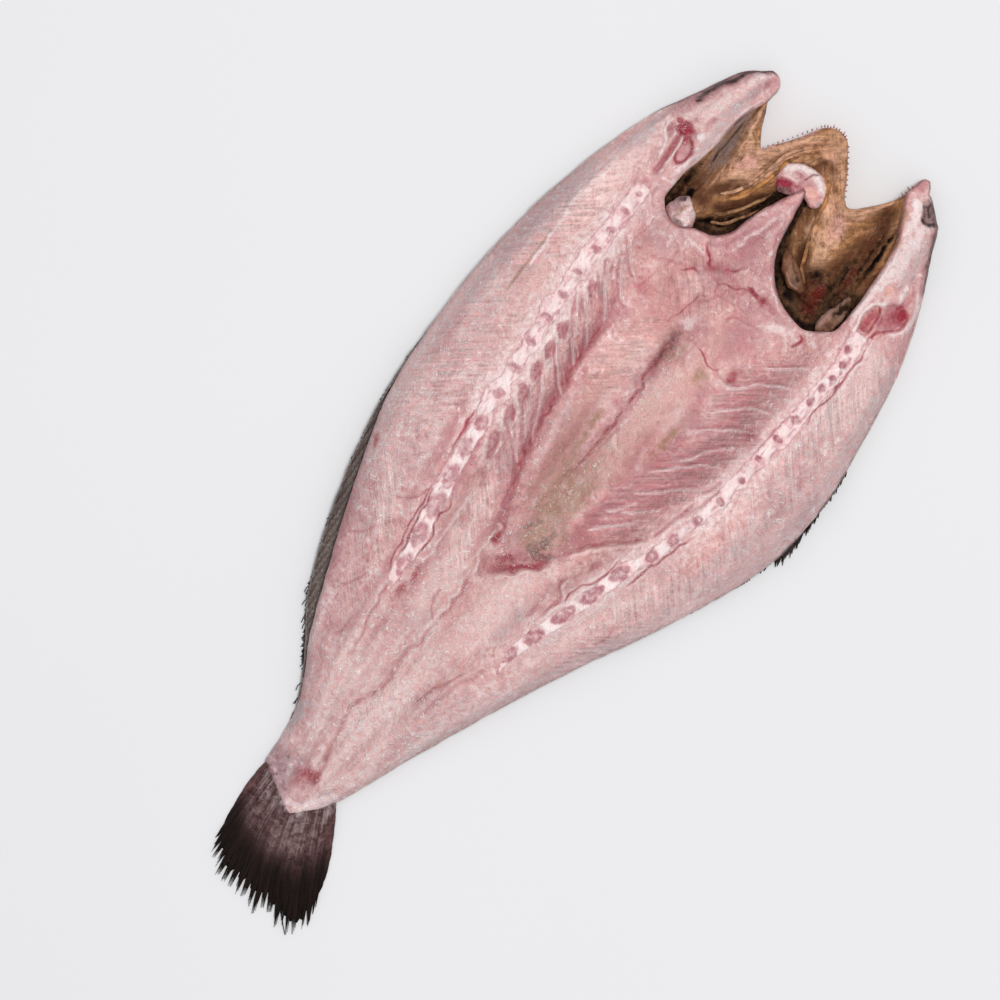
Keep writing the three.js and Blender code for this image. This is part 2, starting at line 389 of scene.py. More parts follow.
@dataclass(frozen=True)
class Patch:
    """A soft oval on the surface, such as a stain, a hollow or a bulge.

    Attributes:
        centre: Its middle.
        radii: Its half axes.
        turn: Degrees from +X to its first axis.
        tint: The tint that it carries.
        strength: The tint's cover at its middle.
        rise: Its height, or its depth below 0.
        edge: Share of its radius over which it fades out.
        ragged: How much noise breaks its edge.
        power: 2 for an oval, nearer 1 for a lozenge, more for a box.
    """

    centre: Point
    radii: Point
    turn: float = 0.0
    tint: Tint | None = None
    strength: float = 1.0
    rise: float = 0.0
    edge: float = 0.6
    ragged: float = 0.25
    power: float = 2.0

    def weigh(self, x: Array, y: Array) -> tuple[Array, Array]:
        """Finds the points that it touches.

        Args:
            x: First coordinates.
            y: Second coordinates.

        Returns:
            The points' indices, and the patch's weight at each, from 0 to 1.
        """
        reach = max(self.radii) * (1 + self.edge + self.ragged)
        near = np.nonzero(np.hypot(x - self.centre[0], y - self.centre[1]) < reach)[0]
        px, py = x[near] - self.centre[0], y[near] - self.centre[1]
        c, s = bearing(self.turn)
        u, v = np.abs(px * c + py * s) / self.radii[0], np.abs(py * c - px * s) / self.radii[1]
        away = (u**self.power + v**self.power) ** (1 / self.power)
        size = max(3.0, min(self.radii))
        away = away + self.ragged * ripple(x[near], y[near], size, 21, 3)
        return near, 1 - smooth(away, 1 - self.edge, 1 + self.edge * 0.5)


Feature = Stroke | Patch


def strokes(paths: Iterable[Line], **same: Any) -> list[Feature]:
    """Several strokes that share everything but their paths."""
    return [Stroke(path, **same) for path in paths]


def moved(line: Line, aside: float, up: float) -> Line:
    """A line moved along X and Y."""
    return tuple((x + aside, y + up) for x, y in line)


def blots(ovals: Iterable[tuple[float, ...]], **same: Any) -> list[Feature]:
    """Patches, each given as (x, y, half length, half width, turn), that share everything else."""
    return [Patch((x, y), (long, wide), turn, **same) for x, y, long, wide, turn in ovals]


def raise_by(features: Iterable[Feature], x: Array, y: Array, z: Array) -> Array:
    """Adds the features' heights to z.

    Args:
        features: The features.
        x: First coordinates.
        y: Second coordinates.
        z: The heights so far.

    Returns:
        The new heights.
    """
    z = np.array(z, float)
    for feature in features:
        if feature.rise:
            near, weight = feature.weigh(x, y)
            z[near] += feature.rise * weight
    return z


def tint_with(features: Iterable[Feature], x: Array, y: Array, masks: Masks) -> None:
    """Lays the features' tints on the masks, in order.

    Args:
        features: The features.
        x: First coordinates.
        y: Second coordinates.
        masks: Takes the tints.
    """
    for feature in features:
        if feature.tint is not None:
            near, weight = feature.weigh(x, y)
            masks.lay(feature.tint, weight * feature.strength, near)


# ---- mesh making


def within(outline: Array, x: Array, y: Array) -> Array:
    """Which points of a grid lie inside a closed outline.

    Args:
        outline: Its corners, in order.
        x: The points' first coordinates, in columns of equal x.
        y: The points' second coordinates.

    Returns:
        True or False for each point.
    """
    columns, which = np.unique(np.round(x, 3), return_inverse=True)
    order = np.argsort(which, kind="stable")
    stops = np.concatenate([[0], np.cumsum(np.bincount(which, minlength=len(columns)))])
    ax, ay = outline.T
    bx, by = np.roll(outline, -1, axis=0).T
    result = np.zeros(len(x), bool)
    for k, column in enumerate(columns):
        hit = (ax <= column) != (bx <= column)
        run = (column - ax[hit]) / (bx[hit] - ax[hit])
        crossings = np.sort(ay[hit] + run * (by[hit] - ay[hit]))
        members = order[stops[k] : stops[k + 1]]
        result[members] = np.searchsorted(crossings, y[members]) % 2 == 1
    return result


SAMPLE = 0.35  # distance between a rim's samples


class Rim:
    """A closed outline that can say how far any point is from it."""

    def __init__(self, outline: Array) -> None:
        """Samples the outline finely.

        Args:
            outline: Its corners, in order either way round.
        """
        closed = np.vstack([outline, outline[:1]])
        turn = np.sum(closed[:-1, 0] * closed[1:, 1] - closed[1:, 0] * closed[:-1, 1])
        if turn < 0:
            closed = closed[::-1]
        lengths = np.hypot(*np.diff(closed, axis=0).T)
        reach = np.concatenate([[0], np.cumsum(lengths)])
        marks = np.linspace(0, reach[-1], int(reach[-1] / SAMPLE))[:-1]
        self.points = np.column_stack([np.interp(marks, reach, axis) for axis in closed.T])
        ahead, behind = np.roll(self.points, -2, axis=0), np.roll(self.points, 2, axis=0)
        along = ahead - behind
        along /= np.hypot(*along.T)[:, None] + 1e-9
        self.outward = np.column_stack([along[:, 1], -along[:, 0]])
        self.tree = KDTree(len(self.points))
        for i, (x, y) in enumerate(self.points):
            self.tree.insert((x, y, 0.0), i)
        self.tree.balance()

    def nearest(self, x: Array, y: Array) -> tuple[Array, Array]:
        """The nearest outline sample to each point.

        Args:
            x: First coordinates.
            y: Second coordinates.

        Returns:
            The samples' indices and their distances.
        """
        found = [self.tree.find((u, v, 0.0)) for u, v in zip(x.tolist(), y.tolist())]
        return np.array([f[1] for f in found]), np.array([f[2] for f in found])


def coordinates(mesh: bpy.types.Mesh) -> Array:
    """A mesh's vertex positions as an array.

    Args:
        mesh: The mesh.

    Returns:
        Rows of [x, y, z].
    """
    co = np.empty(len(mesh.vertices) * 3)
    mesh.vertices.foreach_get("co", co)
    return co.reshape(-1, 3)


def write_masks(mesh: bpy.types.Mesh, masks: Masks) -> None:
    """Stores the masks as colour attributes.

    Args:
        mesh: The mesh that takes them.
        masks: The covers of the mesh's vertices.
    """
    for k, name in enumerate(LAYERS):
        layer = mesh.attributes.new(name, "FLOAT_COLOR", "POINT")
        cover = masks.cover[:, CHANNELS * k : CHANNELS * (k + 1)]
        layer.data.foreach_set("color", cover.ravel().astype(np.float32))


def add_object(name: str, data: bpy.types.ID) -> Piece:
    """Puts a mesh, a lamp or a camera in the scene.

    Args:
        name: The object's name.
        data: Its mesh, lamp or camera.

    Returns:
        The object.
    """
    piece = bpy.data.objects.new(name, data)
    bpy.context.scene.collection.objects.link(piece)
    return piece


def settle(mesh: bpy.types.Mesh, points: Array, chart: Chart) -> Piece:
    """Moves a mesh's vertices to drawing points, shades it smooth and puts it in the scene.

    Args:
        mesh: The mesh.
        points: Its vertices' places on the drawing.
        chart: Places the drawing in the frame.

    Returns:
        The object.
    """
    mesh.vertices.foreach_set("co", chart.metres(points).ravel())
    mesh.polygons.foreach_set("use_smooth", np.ones(len(mesh.polygons), bool))
    mesh.update()
    return add_object(mesh.name, mesh)


def mesh_from(name: str, bm: bmesh.types.BMesh) -> bpy.types.Mesh:
    """Turns a bmesh into a mesh and frees it.

    Args:
        name: The mesh's name.
        bm: The bmesh.

    Returns:
        The mesh.
    """
    mesh = bpy.data.meshes.new(name)
    bm.to_mesh(mesh)
    bm.free()
    return mesh


@dataclass(kw_only=True)
class Sheet:
    """A fine sheet, cut to a closed outline, raised to its height and closed below.

    Each kind states its own outline, height, foot and tints, from x, y and the distance to the
    outline, away.

    Attributes:
        name: The object's name.
        pitch: Width of its faces.
        rounding: Radius of its upper edge.
        steps: Rings of faces down its wall.
        bulge: How far its wall swells outwards.
        tuck: How far the wall's foot stands inwards.
        lift: How far above the skin side the wall's foot is.
    """

    name: str
    pitch: float
    rounding: float = 3.0
    steps: int = 3
    bulge: float = 0.3
    tuck: float = 0.5
    lift: float = 1.2

    def outline(self) -> Array:
        """Its plan."""
        raise NotImplementedError

    def height(self, x: Array, y: Array, away: Array) -> Array:
        """Height of its upper side."""
        raise NotImplementedError

    def foot(self, x: Array, y: Array, away: Array) -> Array:
        """Where its walls end."""
        return skin_level(x, y) + self.lift

    def tint(self, x: Array, y: Array, away: Array, masks: Masks) -> None:
        """Lays its tints."""
        raise NotImplementedError

    def trim(self, bm: bmesh.types.BMesh) -> None:
        """Drops corners that join faces only at a point, and whatever has no face.

        Args:
            bm: The sheet so far.
        """
        while True:
            pinched = [v for v in bm.verts if sum(e.is_boundary for e in v.link_edges) > 2]
            bmesh.ops.delete(bm, geom=pinched, context="VERTS")
            wires = [e for e in bm.edges if not e.link_faces]
            bmesh.ops.delete(bm, geom=wires, context="EDGES")
            loose = [v for v in bm.verts if not v.link_faces]
            bmesh.ops.delete(bm, geom=loose, context="VERTS")
            if not pinched:
                return

    def flat(self, outline: Array, closed: bool, sharp: bool) -> bmesh.types.BMesh:
        """The cut sheet with its wall, the depth down the wall standing in for its height.

        Args:
            outline: Its corners, in order.
            closed: Whether its underside is filled.
            sharp: Whether its upper edge is shaded as a fold.

        Returns:
            A bmesh whose z runs from 0 on the sheet to -1 at the wall's foot.
        """
        low, high = outline.min(axis=0), outline.max(axis=0)
        cells = np.ceil((high - low) / self.pitch).astype(int) + 2
        middle, half = (low + high) / 2, cells * self.pitch / 2
        place = Matrix.Translation((*middle, 0)) @ Matrix.Diagonal((*half, 1, 1))
        bm = bmesh.new()
        bmesh.ops.create_grid(bm, x_segments=int(cells[0]), y_segments=int(cells[1]), size=1, matrix=place)
        co = np.array([v.co for v in bm.verts])
        inside = within(outline, co[:, 0], co[:, 1])
        outside = [v for v, keep in zip(bm.verts, inside) if not keep]
        bmesh.ops.delete(bm, geom=outside, context="VERTS")
        self.trim(bm)
        rim = Rim(outline)
        border = [v for v in bm.verts if v.is_boundary]
        xy = np.array([v.co for v in border])
        index, _ = rim.nearest(xy[:, 0], xy[:, 1])
        for v, k in zip(border, index):
            v.co.x, v.co.y = rim.points[k]
        bmesh.ops.remove_doubles(bm, verts=border, dist=1e-3)
        bmesh.ops.dissolve_degenerate(bm, edges=bm.edges, dist=1e-3)
        self.trim(bm)
        edges = [e for e in bm.edges if e.is_boundary]
        for edge in edges:
            edge.smooth = not sharp
        for step in range(self.steps):
            made = bmesh.ops.extrude_edge_only(bm, edges=edges)["geom"]
            for v in made:
                if isinstance(v, bmesh.types.BMVert):
                    v.co.z = -(step + 1) / self.steps
            edges = [e for e in made if isinstance(e, bmesh.types.BMEdge)]
        if closed:
            fill = bmesh.ops.holes_fill(bm, edges=edges, sides=0)["faces"]
            bmesh.ops.triangulate(bm, faces=fill, ngon_method="EAR_CLIP")
            bmesh.ops.recalc_face_normals(bm, faces=bm.faces)
        return bm

    def cut(
        self, name: str, chart: Chart, outline: Array, closed: bool = True, whole: Array | None = None
    ) -> Piece:
        """Makes a piece of the sheet.

        Args:
            name: The object's name.
            chart: Places the drawing in the frame.
            outline: The piece's corners, in order.
            closed: Whether its underside is filled.
            whole: The outline that distances are taken from, where the piece is only a part.

        Returns:
            The object, its masks stored and its faces smooth.
        """
        mesh = mesh_from(name, self.flat(outline, closed, whole is not None))
        co = coordinates(mesh)
        x, y, down = co[:, 0].copy(), co[:, 1].copy(), -co[:, 2]
        rim = Rim(outline)
        index, away = rim.nearest(x, y)
        if whole is not None:
            away = Rim(whole).nearest(x, y)[1]
        top = self.height(x, y, away)
        foot = self.foot(x, y, away)
        swell = self.bulge * np.sin(np.pi * down) - self.tuck * smooth(down, 0.4, 1.0)
        co[:, :2] += rim.outward[index] * np.where(down > 0, swell, 0)[:, None]
        co[:, 2] = mix(top, foot, down)
        masks = Masks(len(co))
        self.tint(x, y, away, masks)
        write_masks(mesh, masks)
        return settle(mesh, co, chart)

    def build(self, chart: Chart) -> Piece:
        """Makes the piece."""
        return self.cut(self.name, chart, self.outline())


@dataclass
class Strands:
    """Thin tapered strands, such as ribs, veins, rays and hairs, made as one piece.

    Attributes:
        sides: Faces around each strand.
    """

    sides: int = 6
    rings: list[Array] = field(default_factory=list)
    starts: list[int] = field(default_factory=list)

    def add(self, points: Array, radii: Any, flat: float = 1.0, tints: Mapping[Tint, Any] = {}) -> None:
        """Adds one strand.

        Args:
            points: Its middle line, [x, y, z] on the drawing.
            radii: Its half width, one number or one for each point.
            flat: Its thickness as a share of its width.
            tints: The cover of each tint that it carries.
        """
        points = np.asarray(points, float)
        ways = np.gradient(points, axis=0)
        ways /= np.linalg.norm(ways, axis=1)[:, None] + 1e-9
        sides = np.cross(ways, (0.0, 0.0, 1.0))
        sides /= np.linalg.norm(sides, axis=1)[:, None] + 1e-9
        ups = np.cross(sides, ways) * flat
        radii = np.broadcast_to(np.asarray(radii, float), len(points))
        cover = np.zeros((len(points), len(Tint)))
        for tint, strength in tints.items():
            cover[:, tint.value] = strength
        rows = np.column_stack([points, sides * radii[:, None], ups * radii[:, None], cover])
        closed = np.vstack([rows[:1], rows, rows[-1:]])
        closed[[0, -1], 3:9] = 0.0
        self.starts.append(sum(len(r) for r in self.rings))
        self.rings.append(closed)

    def build(self, name: str, chart: Chart) -> Piece:
        """Makes the piece.

        Args:
            name: The object's name.
            chart: Places the drawing in the frame.

        Returns:
            The object, its masks stored and its faces smooth.
        """
        rows = np.vstack(self.rings)
        bm = bmesh.new()
        half = (self.sides / 2, (len(rows) - 1) / 2)
        place = Matrix.Translation((*half, 0)) @ Matrix.Diagonal((*half, 1, 1))
        bmesh.ops.create_grid(bm, x_segments=self.sides, y_segments=len(rows) - 1, size=1, matrix=place)
        gaps = set(self.starts)
        bridges = [f for f in bm.faces if math.ceil(f.calc_center_median().y) in gaps]
        bmesh.ops.delete(bm, geom=bridges, context="FACES_ONLY")
        mesh = mesh_from(name, bm)
        co = coordinates(mesh)
        ring = rows[np.round(co[:, 1]).astype(int)]
        angle = (np.round(co[:, 0]) % self.sides) * 2 * np.pi / self.sides
        place = ring[:, :3] + ring[:, 3:6] * np.cos(angle)[:, None] + ring[:, 6:9] * np.sin(angle)[:, None]
        masks = Masks(len(co))
        masks.cover[:] = ring[:, 9:]
        mesh.vertices.foreach_set("co", place.ravel())
        write_masks(mesh, masks)
        bm = bmesh.new()
        bm.from_mesh(mesh)
        wires = [e for e in bm.edges if not e.link_faces]
        bmesh.ops.delete(bm, geom=wires, context="EDGES")
        bmesh.ops.remove_doubles(bm, verts=bm.verts, dist=1e-4)
        bmesh.ops.recalc_face_normals(bm, faces=bm.faces)
        bm.to_mesh(mesh)
        bm.free()
        return settle(mesh, coordinates(mesh), chart)


# ---- materials


class Term:
    """A shader number that Python expressions can use."""

    def __init__(self, recipe: "Recipe", socket: bpy.types.NodeSocket) -> None:
        """Wraps an output socket."""
        self.recipe = recipe
        self.socket = socket

    def maths(self, operation: str, *values: Any) -> "Term":
        """Puts values through a Math node.

        Args:
            operation: The node's operation.
            values: Its inputs, which may be Terms or numbers.

        Returns:
            The node's result.
        """
        links = {i: v.socket if isinstance(v, Term) else v for i, v in enumerate(values)}
        made = self.recipe.node("ShaderNodeMath", {"operation": operation}, links)
        return Term(self.recipe, made.outputs[0])

    def __add__(self, other: Any) -> "Term":
        """self + other."""
        return self.maths("ADD", self, other)

    def __sub__(self, other: Any) -> "Term":
        """self - other."""
        return self.maths("SUBTRACT", self, other)

    def __rsub__(self, other: Any) -> "Term":
        """other - self."""
        return self.maths("SUBTRACT", other, self)

    def __mul__(self, other: Any) -> "Term":
        """self * other."""
        return self.maths("MULTIPLY", self, other)

    __radd__ = __add__
    __rmul__ = __mul__

    def clamped(self) -> "Term":
        """Kept between 0 and 1."""
        return self.maths("MINIMUM", self.maths("MAXIMUM", self, 0.0), 1.0)

    def rising(self, low: float, high: float) -> "Term":
        """Rises smoothly from 0 at low to 1 at high.

        Args:
            low: The number that becomes 0.
            high: The number that becomes 1.

        Returns:
            A number from 0 to 1.
        """
        made = self.recipe.node(
            "ShaderNodeMapRange",
            {"interpolation_type": "SMOOTHSTEP"},
            {"Value": self.socket, "From Min": low, "From Max": high},
        )
        return Term(self.recipe, made.outputs["Result"])


class Recipe:
    """A material being put together from nodes."""

    def __init__(self, name: str) -> None:
        """Starts an empty material with one Principled shader.

        Args:
            name: The material's name.
        """
        self.material = bpy.data.materials.new(name)
        self.material.use_nodes = True
        self.tree = self.material.node_tree
        self.tree.nodes.clear()
        self.shader = self.node("ShaderNodeBsdfPrincipled")
        out = self.node("ShaderNodeOutputMaterial")
        self.tree.links.new(self.shader.outputs["BSDF"], out.inputs["Surface"])
        self.place = self.node("ShaderNodeTexCoord").outputs["Object"]

    def plug(self, value: Any, socket: bpy.types.NodeSocket) -> None:
        """Gives an input a value, or links it where the value is a Term or a socket.

        Args:
            value: A number, a colour, a Term or a socket.
            socket: The input.
        """
        value = value.socket if isinstance(value, Term) else value
        if isinstance(value, bpy.types.NodeSocket):
            self.tree.links.new(value, socket)
        else:
            socket.default_value = value

    def node(
        self,
        kind: str,
        settings: Mapping[str, Any] | None = None,
        sockets: Mapping[Any, Any] | None = None,
    ) -> bpy.types.Node:
        """Adds a node.

        Args:
            kind: Its Blender type.
            settings: Its own properties, set first.
            sockets: Values or links for its inputs, by name, identifier or number.

        Returns:
            The node.
        """
        made = self.tree.nodes.new(kind)
        for key, value in (settings or {}).items():
            setattr(made, key, value)
        named = {s.identifier: s for s in made.inputs} | {s.name: s for s in reversed(made.inputs)}
        for key, value in (sockets or {}).items():
            self.plug(value, made.inputs[key] if isinstance(key, int) else named[key])
        return made

    def blend(self, under: Any, over: Any, share: Any, mode: str = "MIX") -> bpy.types.NodeSocket:
        """Mixes two colours.

        Args:
            under: The colour where share is 0.
            over: The colour where share is 1.
            share: A Term or a number.
            mode: How they are mixed.

        Returns:
            The mixed colour's socket.
        """
        under, over = ((*c, 1.0) if isinstance(c, tuple) else c for c in (under, over))
        made = self.node(
            "ShaderNodeMix",
            {"data_type": "RGBA", "blend_type": mode},
            {"Factor_Float": share, "A_Color": under, "B_Color": over},
        )
        return next(s for s in made.outputs if s.identifier == "Result_Color")

    def turned(self, scale: tuple[float, float, float], angle: float = 0.0) -> bpy.types.NodeSocket:
        """Object coordinates turned about Z and stretched.

        Args:
            scale: Factors along the turned axes.
            angle: Degrees that the pattern's first axis is turned by.

        Returns:
            The coordinates' socket.
        """
        around = self.node(
            "ShaderNodeMapping",
            {"vector_type": "POINT"},
            {"Vector": self.place, "Rotation": (0.0, 0.0, math.radians(-angle))},
        )
        made = self.node(
            "ShaderNodeVectorMath",
            {"operation": "MULTIPLY"},
            {0: around.outputs["Vector"], 1: scale},
        )
        return made.outputs["Vector"]

    def noise(self, scale: float, detail: float = 2.0, where: Any = None, twist: float = 0.0) -> Term:
        """Cloudy noise from about 0.2 to 0.8.

        Args:
            scale: Swellings for each unit of the coordinates.
            detail: Octaves of finer noise.
            where: Coordinates other than the object's.
            twist: How far the noise distorts itself.

        Returns:
            The noise.
        """
        made = self.node(
            "ShaderNodeTexNoise",
            None,
            {"Vector": where or self.place, "Scale": scale, "Detail": detail, "Distortion": twist},
        )
        return Term(self, made.outputs["Factor"] if "Factor" in made.outputs else made.outputs["Fac"])

    def masks(self) -> dict[Tint, Term]:
        """The covers of the tints that the mesh carries.

        Returns:
            A Term for each tint.
        """
        found = {}
        for k, name in enumerate(LAYERS):
            layer = self.node("ShaderNodeAttribute", {"attribute_name": name})
            split = self.node("ShaderNodeSeparateColor", None, {"Color": layer.outputs["Color"]})
            for i, socket in enumerate((*split.outputs[:3], layer.outputs["Alpha"])):
                found[Tint(CHANNELS * k + i)] = Term(self, socket)
        return found

    def bump(self, height: Term, distance: float, strength: float = 1.0) -> None:
        """Feeds a height to the shader's normal.

        Args:
            height: The height.
            distance: How high 1 stands, in metres.
            strength: How much it counts.
        """
        made = self.node(
            "ShaderNodeBump", None, {"Height": height, "Distance": distance, "Strength": strength}
        )
        self.tree.links.new(made.outputs["Normal"], self.shader.inputs["Normal"])

    def feed(self, **values: Any) -> None:
        """Sets or links the shader's own sockets, spaces in their names written as underscores."""
        for key, value in values.items():
            self.plug(value, self.shader.inputs[key.replace("_", " ")])


@dataclass(frozen=True)
class Tissue:
    """A moist or half-dried tissue whose tints come from the mesh's masks.

    Attributes:
        name: The material's name.
        base: Its colour with no tint.
        tints: The colours of the tints.
        deep: The colour of its darker marbling.
        light: The colour of its lighter marbling.
        marble: Cover of the marbling.
        mottle: Strength of its cloudy light and dark.
        frost: The colour of its frosted specks, bright enough to serve also as painted glints.
        dull: What its dull zones, painted shade among them, are multiplied with.
        relief: Height of its surface grain, in metres.
        fibre: How much its fibres show.
        rough: Its roughness.
        subsurface: How much light passes under its surface.
        ragged: How far noise eats into the tints' edges.
        shine: Strength of its reflections.
    """

    name: str
    base: Colour
    tints: Mapping[Tint, Colour]
    deep: Colour = (0.56, 0.225, 0.23)
    light: Colour = (0.95, 0.68, 0.65)
    marble: float = 0.6
    mottle: float = 0.3
    frost: Colour = (1.0, 0.86, 0.845)
    dull: Colour = (0.70, 0.57, 0.60)
    relief: float = 0.0008
    fibre: float = 1.4
    rough: float = 0.5
    subsurface: float = 0.12
    ragged: float = 7.0
    shine: float = 0.5

    def build(self) -> bpy.types.Material:
        """Makes the material.

        Returns:
            The material.
        """
        r = Recipe(self.name)
        masks = r.masks()
        blotch = r.noise(110.0, 3.0, twist=0.8)
        patchy = r.noise(330.0, 4.0, twist=0.4)
        grain = r.noise(1250.0, 3.0)
        fall = r.noise(1.0, 3.0, r.turned((60.0, 800.0, 60.0), -54.0))
        climb = r.noise(1.0, 3.0, r.turned((60.0, 800.0, 60.0), 40.0))
        streaks = (fall - 0.5) * masks[FALL] + (climb - 0.5) * masks[CLIMB]

        marble = (blotch + (patchy - 0.5) * 0.9 + streaks * 0.8).rising(0.50, 0.64)
        colour = r.blend(self.base, self.deep, marble * self.marble)
        marble = (1 - blotch + (patchy - 0.5) * 0.9 - streaks * 0.8).rising(0.51, 0.65)
        colour = r.blend(colour, self.light, marble * self.marble)
        for tint, paint in self.tints.items():
            mask = masks[tint]
            broken = mask + mask * (1 - mask) * (patchy - 0.5 + (grain - 0.5) * 0.3) * self.ragged
            colour = r.blend(colour, paint, broken.clamped())
        # Multiplies in the dull zones, which also carry painted shade.
        colour = r.blend(colour, self.dull, masks[DULL], "MULTIPLY")
        bright = 1 + (blotch - 0.5) * self.mottle * 1.2 + (patchy - 0.5) * self.mottle * 1.6
        bright = bright + (grain - 0.5) * self.mottle * 1.6 + streaks * self.fibre
        colour = r.blend(colour, bright.socket, 1.0, "MULTIPLY")
        # Frost specks, partly painted glints: the brightest flecks stand in for small wet highlights.
        dust_and_glints = (grain + (patchy - 0.5) * 0.5).rising(0.53, 0.64) * blotch.rising(0.3, 0.6)
        crust_and_glints = (patchy + (grain - 0.5) * 0.7).rising(0.59, 0.67)
        frost = ((dust_and_glints + crust_and_glints * 0.5) * (masks[FROST] + 0.12) * (1 - masks[DARK])).clamped()
        colour = r.blend(colour, self.frost, frost * 0.5)
        wet = masks[BLOOD] * 0.5 + masks[ROSE] * 0.25 - masks[DARK] * 1.2
        rough = (self.rough - wet * 0.3 + frost * 0.2 + (grain - 0.5) * 0.4).clamped()
        r.feed(Base_Color=colour, Roughness=rough, Subsurface_Weight=self.subsurface)
        r.feed(Subsurface_Radius=(1.0, 0.35, 0.25), Subsurface_Scale=0.003, IOR=1.38)
        r.feed(Specular_IOR_Level=self.shine)
        relief = grain * 0.6 + streaks * 0.9 + patchy * 0.9 + frost * 0.25
        r.bump(relief, self.relief, 1.0)
        return r.material


FLESH_TINTS: Mapping[Tint, Colour] = {
    ROSE: (0.52, 0.195, 0.22),
    PALE: (0.95, 0.685, 0.65),
    SALMON: (0.84, 0.46, 0.39),
    GREY: (0.57, 0.455, 0.46),
    BROWN: (0.36, 0.20, 0.10),
    BONE: (0.95, 0.78, 0.76),
    BLOOD: (0.36, 0.022, 0.05),
    DARK: (0.035, 0.022, 0.02),
}
FLESH = Tissue("flesh", (0.79, 0.445, 0.425), FLESH_TINTS, mottle=0.38, relief=0.0013)
BONE_TINTS: Mapping[Tint, Colour] = {
    PALE: (0.87, 0.60, 0.575),
    BONE: (1.0, 0.84, 0.82),
    BROWN: (0.27, 0.13, 0.07),
    ROSE: (0.47, 0.175, 0.21),
    BLOOD: (0.27, 0.028, 0.05),
    DARK: (0.035, 0.022, 0.02),
}
CUT_BONE = Tissue(
    "bone", (0.98, 0.73, 0.715), BONE_TINTS,
    deep=(0.68, 0.34, 0.36), light=(0.96, 0.80, 0.79), marble=0.6, mottle=0.25, rough=0.42,
)
LINING_TINTS: Mapping[Tint, Colour] = {
    PALE: (0.72, 0.41, 0.27),
    SALMON: (0.56, 0.25, 0.09),
    ROSE: (0.72, 0.38, 0.32),
    GREY: (0.22, 0.155, 0.14),
    BROWN: (0.085, 0.028, 0.014),
    BONE: (0.80, 0.66, 0.56),
    BLOOD: (0.12, 0.005, 0.006),
    DARK: (0.004, 0.002, 0.002),
}
LINING = Tissue(
    "mouth_lining", (0.30, 0.145, 0.072), LINING_TINTS,
    deep=(0.13, 0.05, 0.024), light=(0.52, 0.28, 0.14), marble=0.6, mottle=0.6,
    frost=(0.50, 0.31, 0.21), fibre=1.5, rough=0.42, subsurface=0.03, shine=0.08,
)


FIN_TINTS: Mapping[Tint, Colour] = {
    ROSE: (0.13, 0.06, 0.06),
    GREY: (0.34, 0.25, 0.24),
    PALE: (0.62, 0.53, 0.52),
    DARK: (0.009, 0.006, 0.005),
}
FIN = Tissue(
    "fin", (0.040, 0.018, 0.016), FIN_TINTS,
    deep=(0.012, 0.006, 0.005), light=(0.055, 0.03, 0.028), marble=0.6, mottle=0.5,
    frost=(0.26, 0.20, 0.19), fibre=1.2, rough=0.5, subsurface=0.0, shine=0.15,
)


@dataclass(frozen=True)
class ScaledSkin:
    """Skin with the pockets of its scales in offset rows.

    Attributes:
        back: Colour along the back.
        flank: Colour of the flanks.
        belly: Colour of the belly.
        scale: Length and width of a scale pocket, in metres.
    """

    back: Colour = (0.15, 0.118, 0.106)
    flank: Colour = (0.27, 0.23, 0.20)
    belly: Colour = (0.58, 0.53, 0.48)
    scale: Point = (0.0036, 0.0028)

    def build(self) -> bpy.types.Material:
        """Makes the material.

        Returns:
            The material.
        """
        r = Recipe("skin")
        split = r.node("ShaderNodeSeparateXYZ", None, {"Vector": r.place})
        along, across = Term(r, split.outputs[0]), Term(r, split.outputs[1])
        warp = (r.noise(60.0, 2.0) - 0.5) * 0.0024
        row = (across + warp) * (1 / self.scale[1])
        whole = row.maths("FLOOR", row)
        step = row.maths("MODULO", whole, 2.0)
        column = (along + warp) * (1 / self.scale[0]) + step.maths("ABSOLUTE", step) * 0.5
        u, v = column.maths("FRACT", column) - 0.5, row - whole - 0.5
        reach = u * u * 1.1 + v * v * 2.2
        edge = reach.rising(0.16, 0.42)
        cloud, grain = r.noise(70.0, 4.0), r.noise(1400.0, 2.0)
        masks = r.masks()
        colour = r.blend(self.flank, self.belly, masks[PALE])
        colour = r.blend(colour, self.back, masks[DARK])
        colour = r.blend(colour, (0.50, 0.38, 0.36), masks[ROSE] * 0.9)
        bare = masks[FROST]
        seen = (1 - masks[PALE] * 0.6) * (1 - bare) * (1 - masks[DARK] * 0.6)
        lines = edge * cloud.rising(0.35, 0.7) * 0.4 * seen
        colour = r.blend(colour, (0.05, 0.038, 0.033), lines)
        pores = r.noise(420.0, 2.0).rising(0.60, 0.70) * bare
        colour = r.blend(colour, (0.07, 0.055, 0.05), (masks[BROWN] + pores * 0.5).clamped() * 0.85)
        light = 1 + (cloud - 0.5) * 0.9 + (grain - 0.5) * 0.5
        colour = r.blend(colour, light.socket, 1.0, "MULTIPLY")
        frost = r.noise(900.0, 2.0).rising(0.54, 0.68) * cloud.rising(0.3, 0.6) * 0.5
        colour = r.blend(colour, (0.5, 0.47, 0.45), frost)
        r.feed(Base_Color=colour, Roughness=(0.42 + (grain - 0.5) * 0.3).clamped(), IOR=1.4)
        r.bump((1 - edge) * (1 - bare) * 0.8 + grain * 0.15 - pores * 0.3, 0.0006, 0.9)
        return r.material


SKIN = ScaledSkin()
EYE = Tissue(
    "eye", (0.10, 0.09, 0.08), {PALE: (0.55, 0.46, 0.28), DARK: (0.004, 0.004, 0.005)},
    deep=(0.04, 0.035, 0.03), light=(0.30, 0.26, 0.2), marble=0.5, mottle=0.3, frost=(0.5, 0.48, 0.45),
    relief=0.0002, fibre=0.0, rough=0.18, subsurface=0.0, ragged=1.0,
)


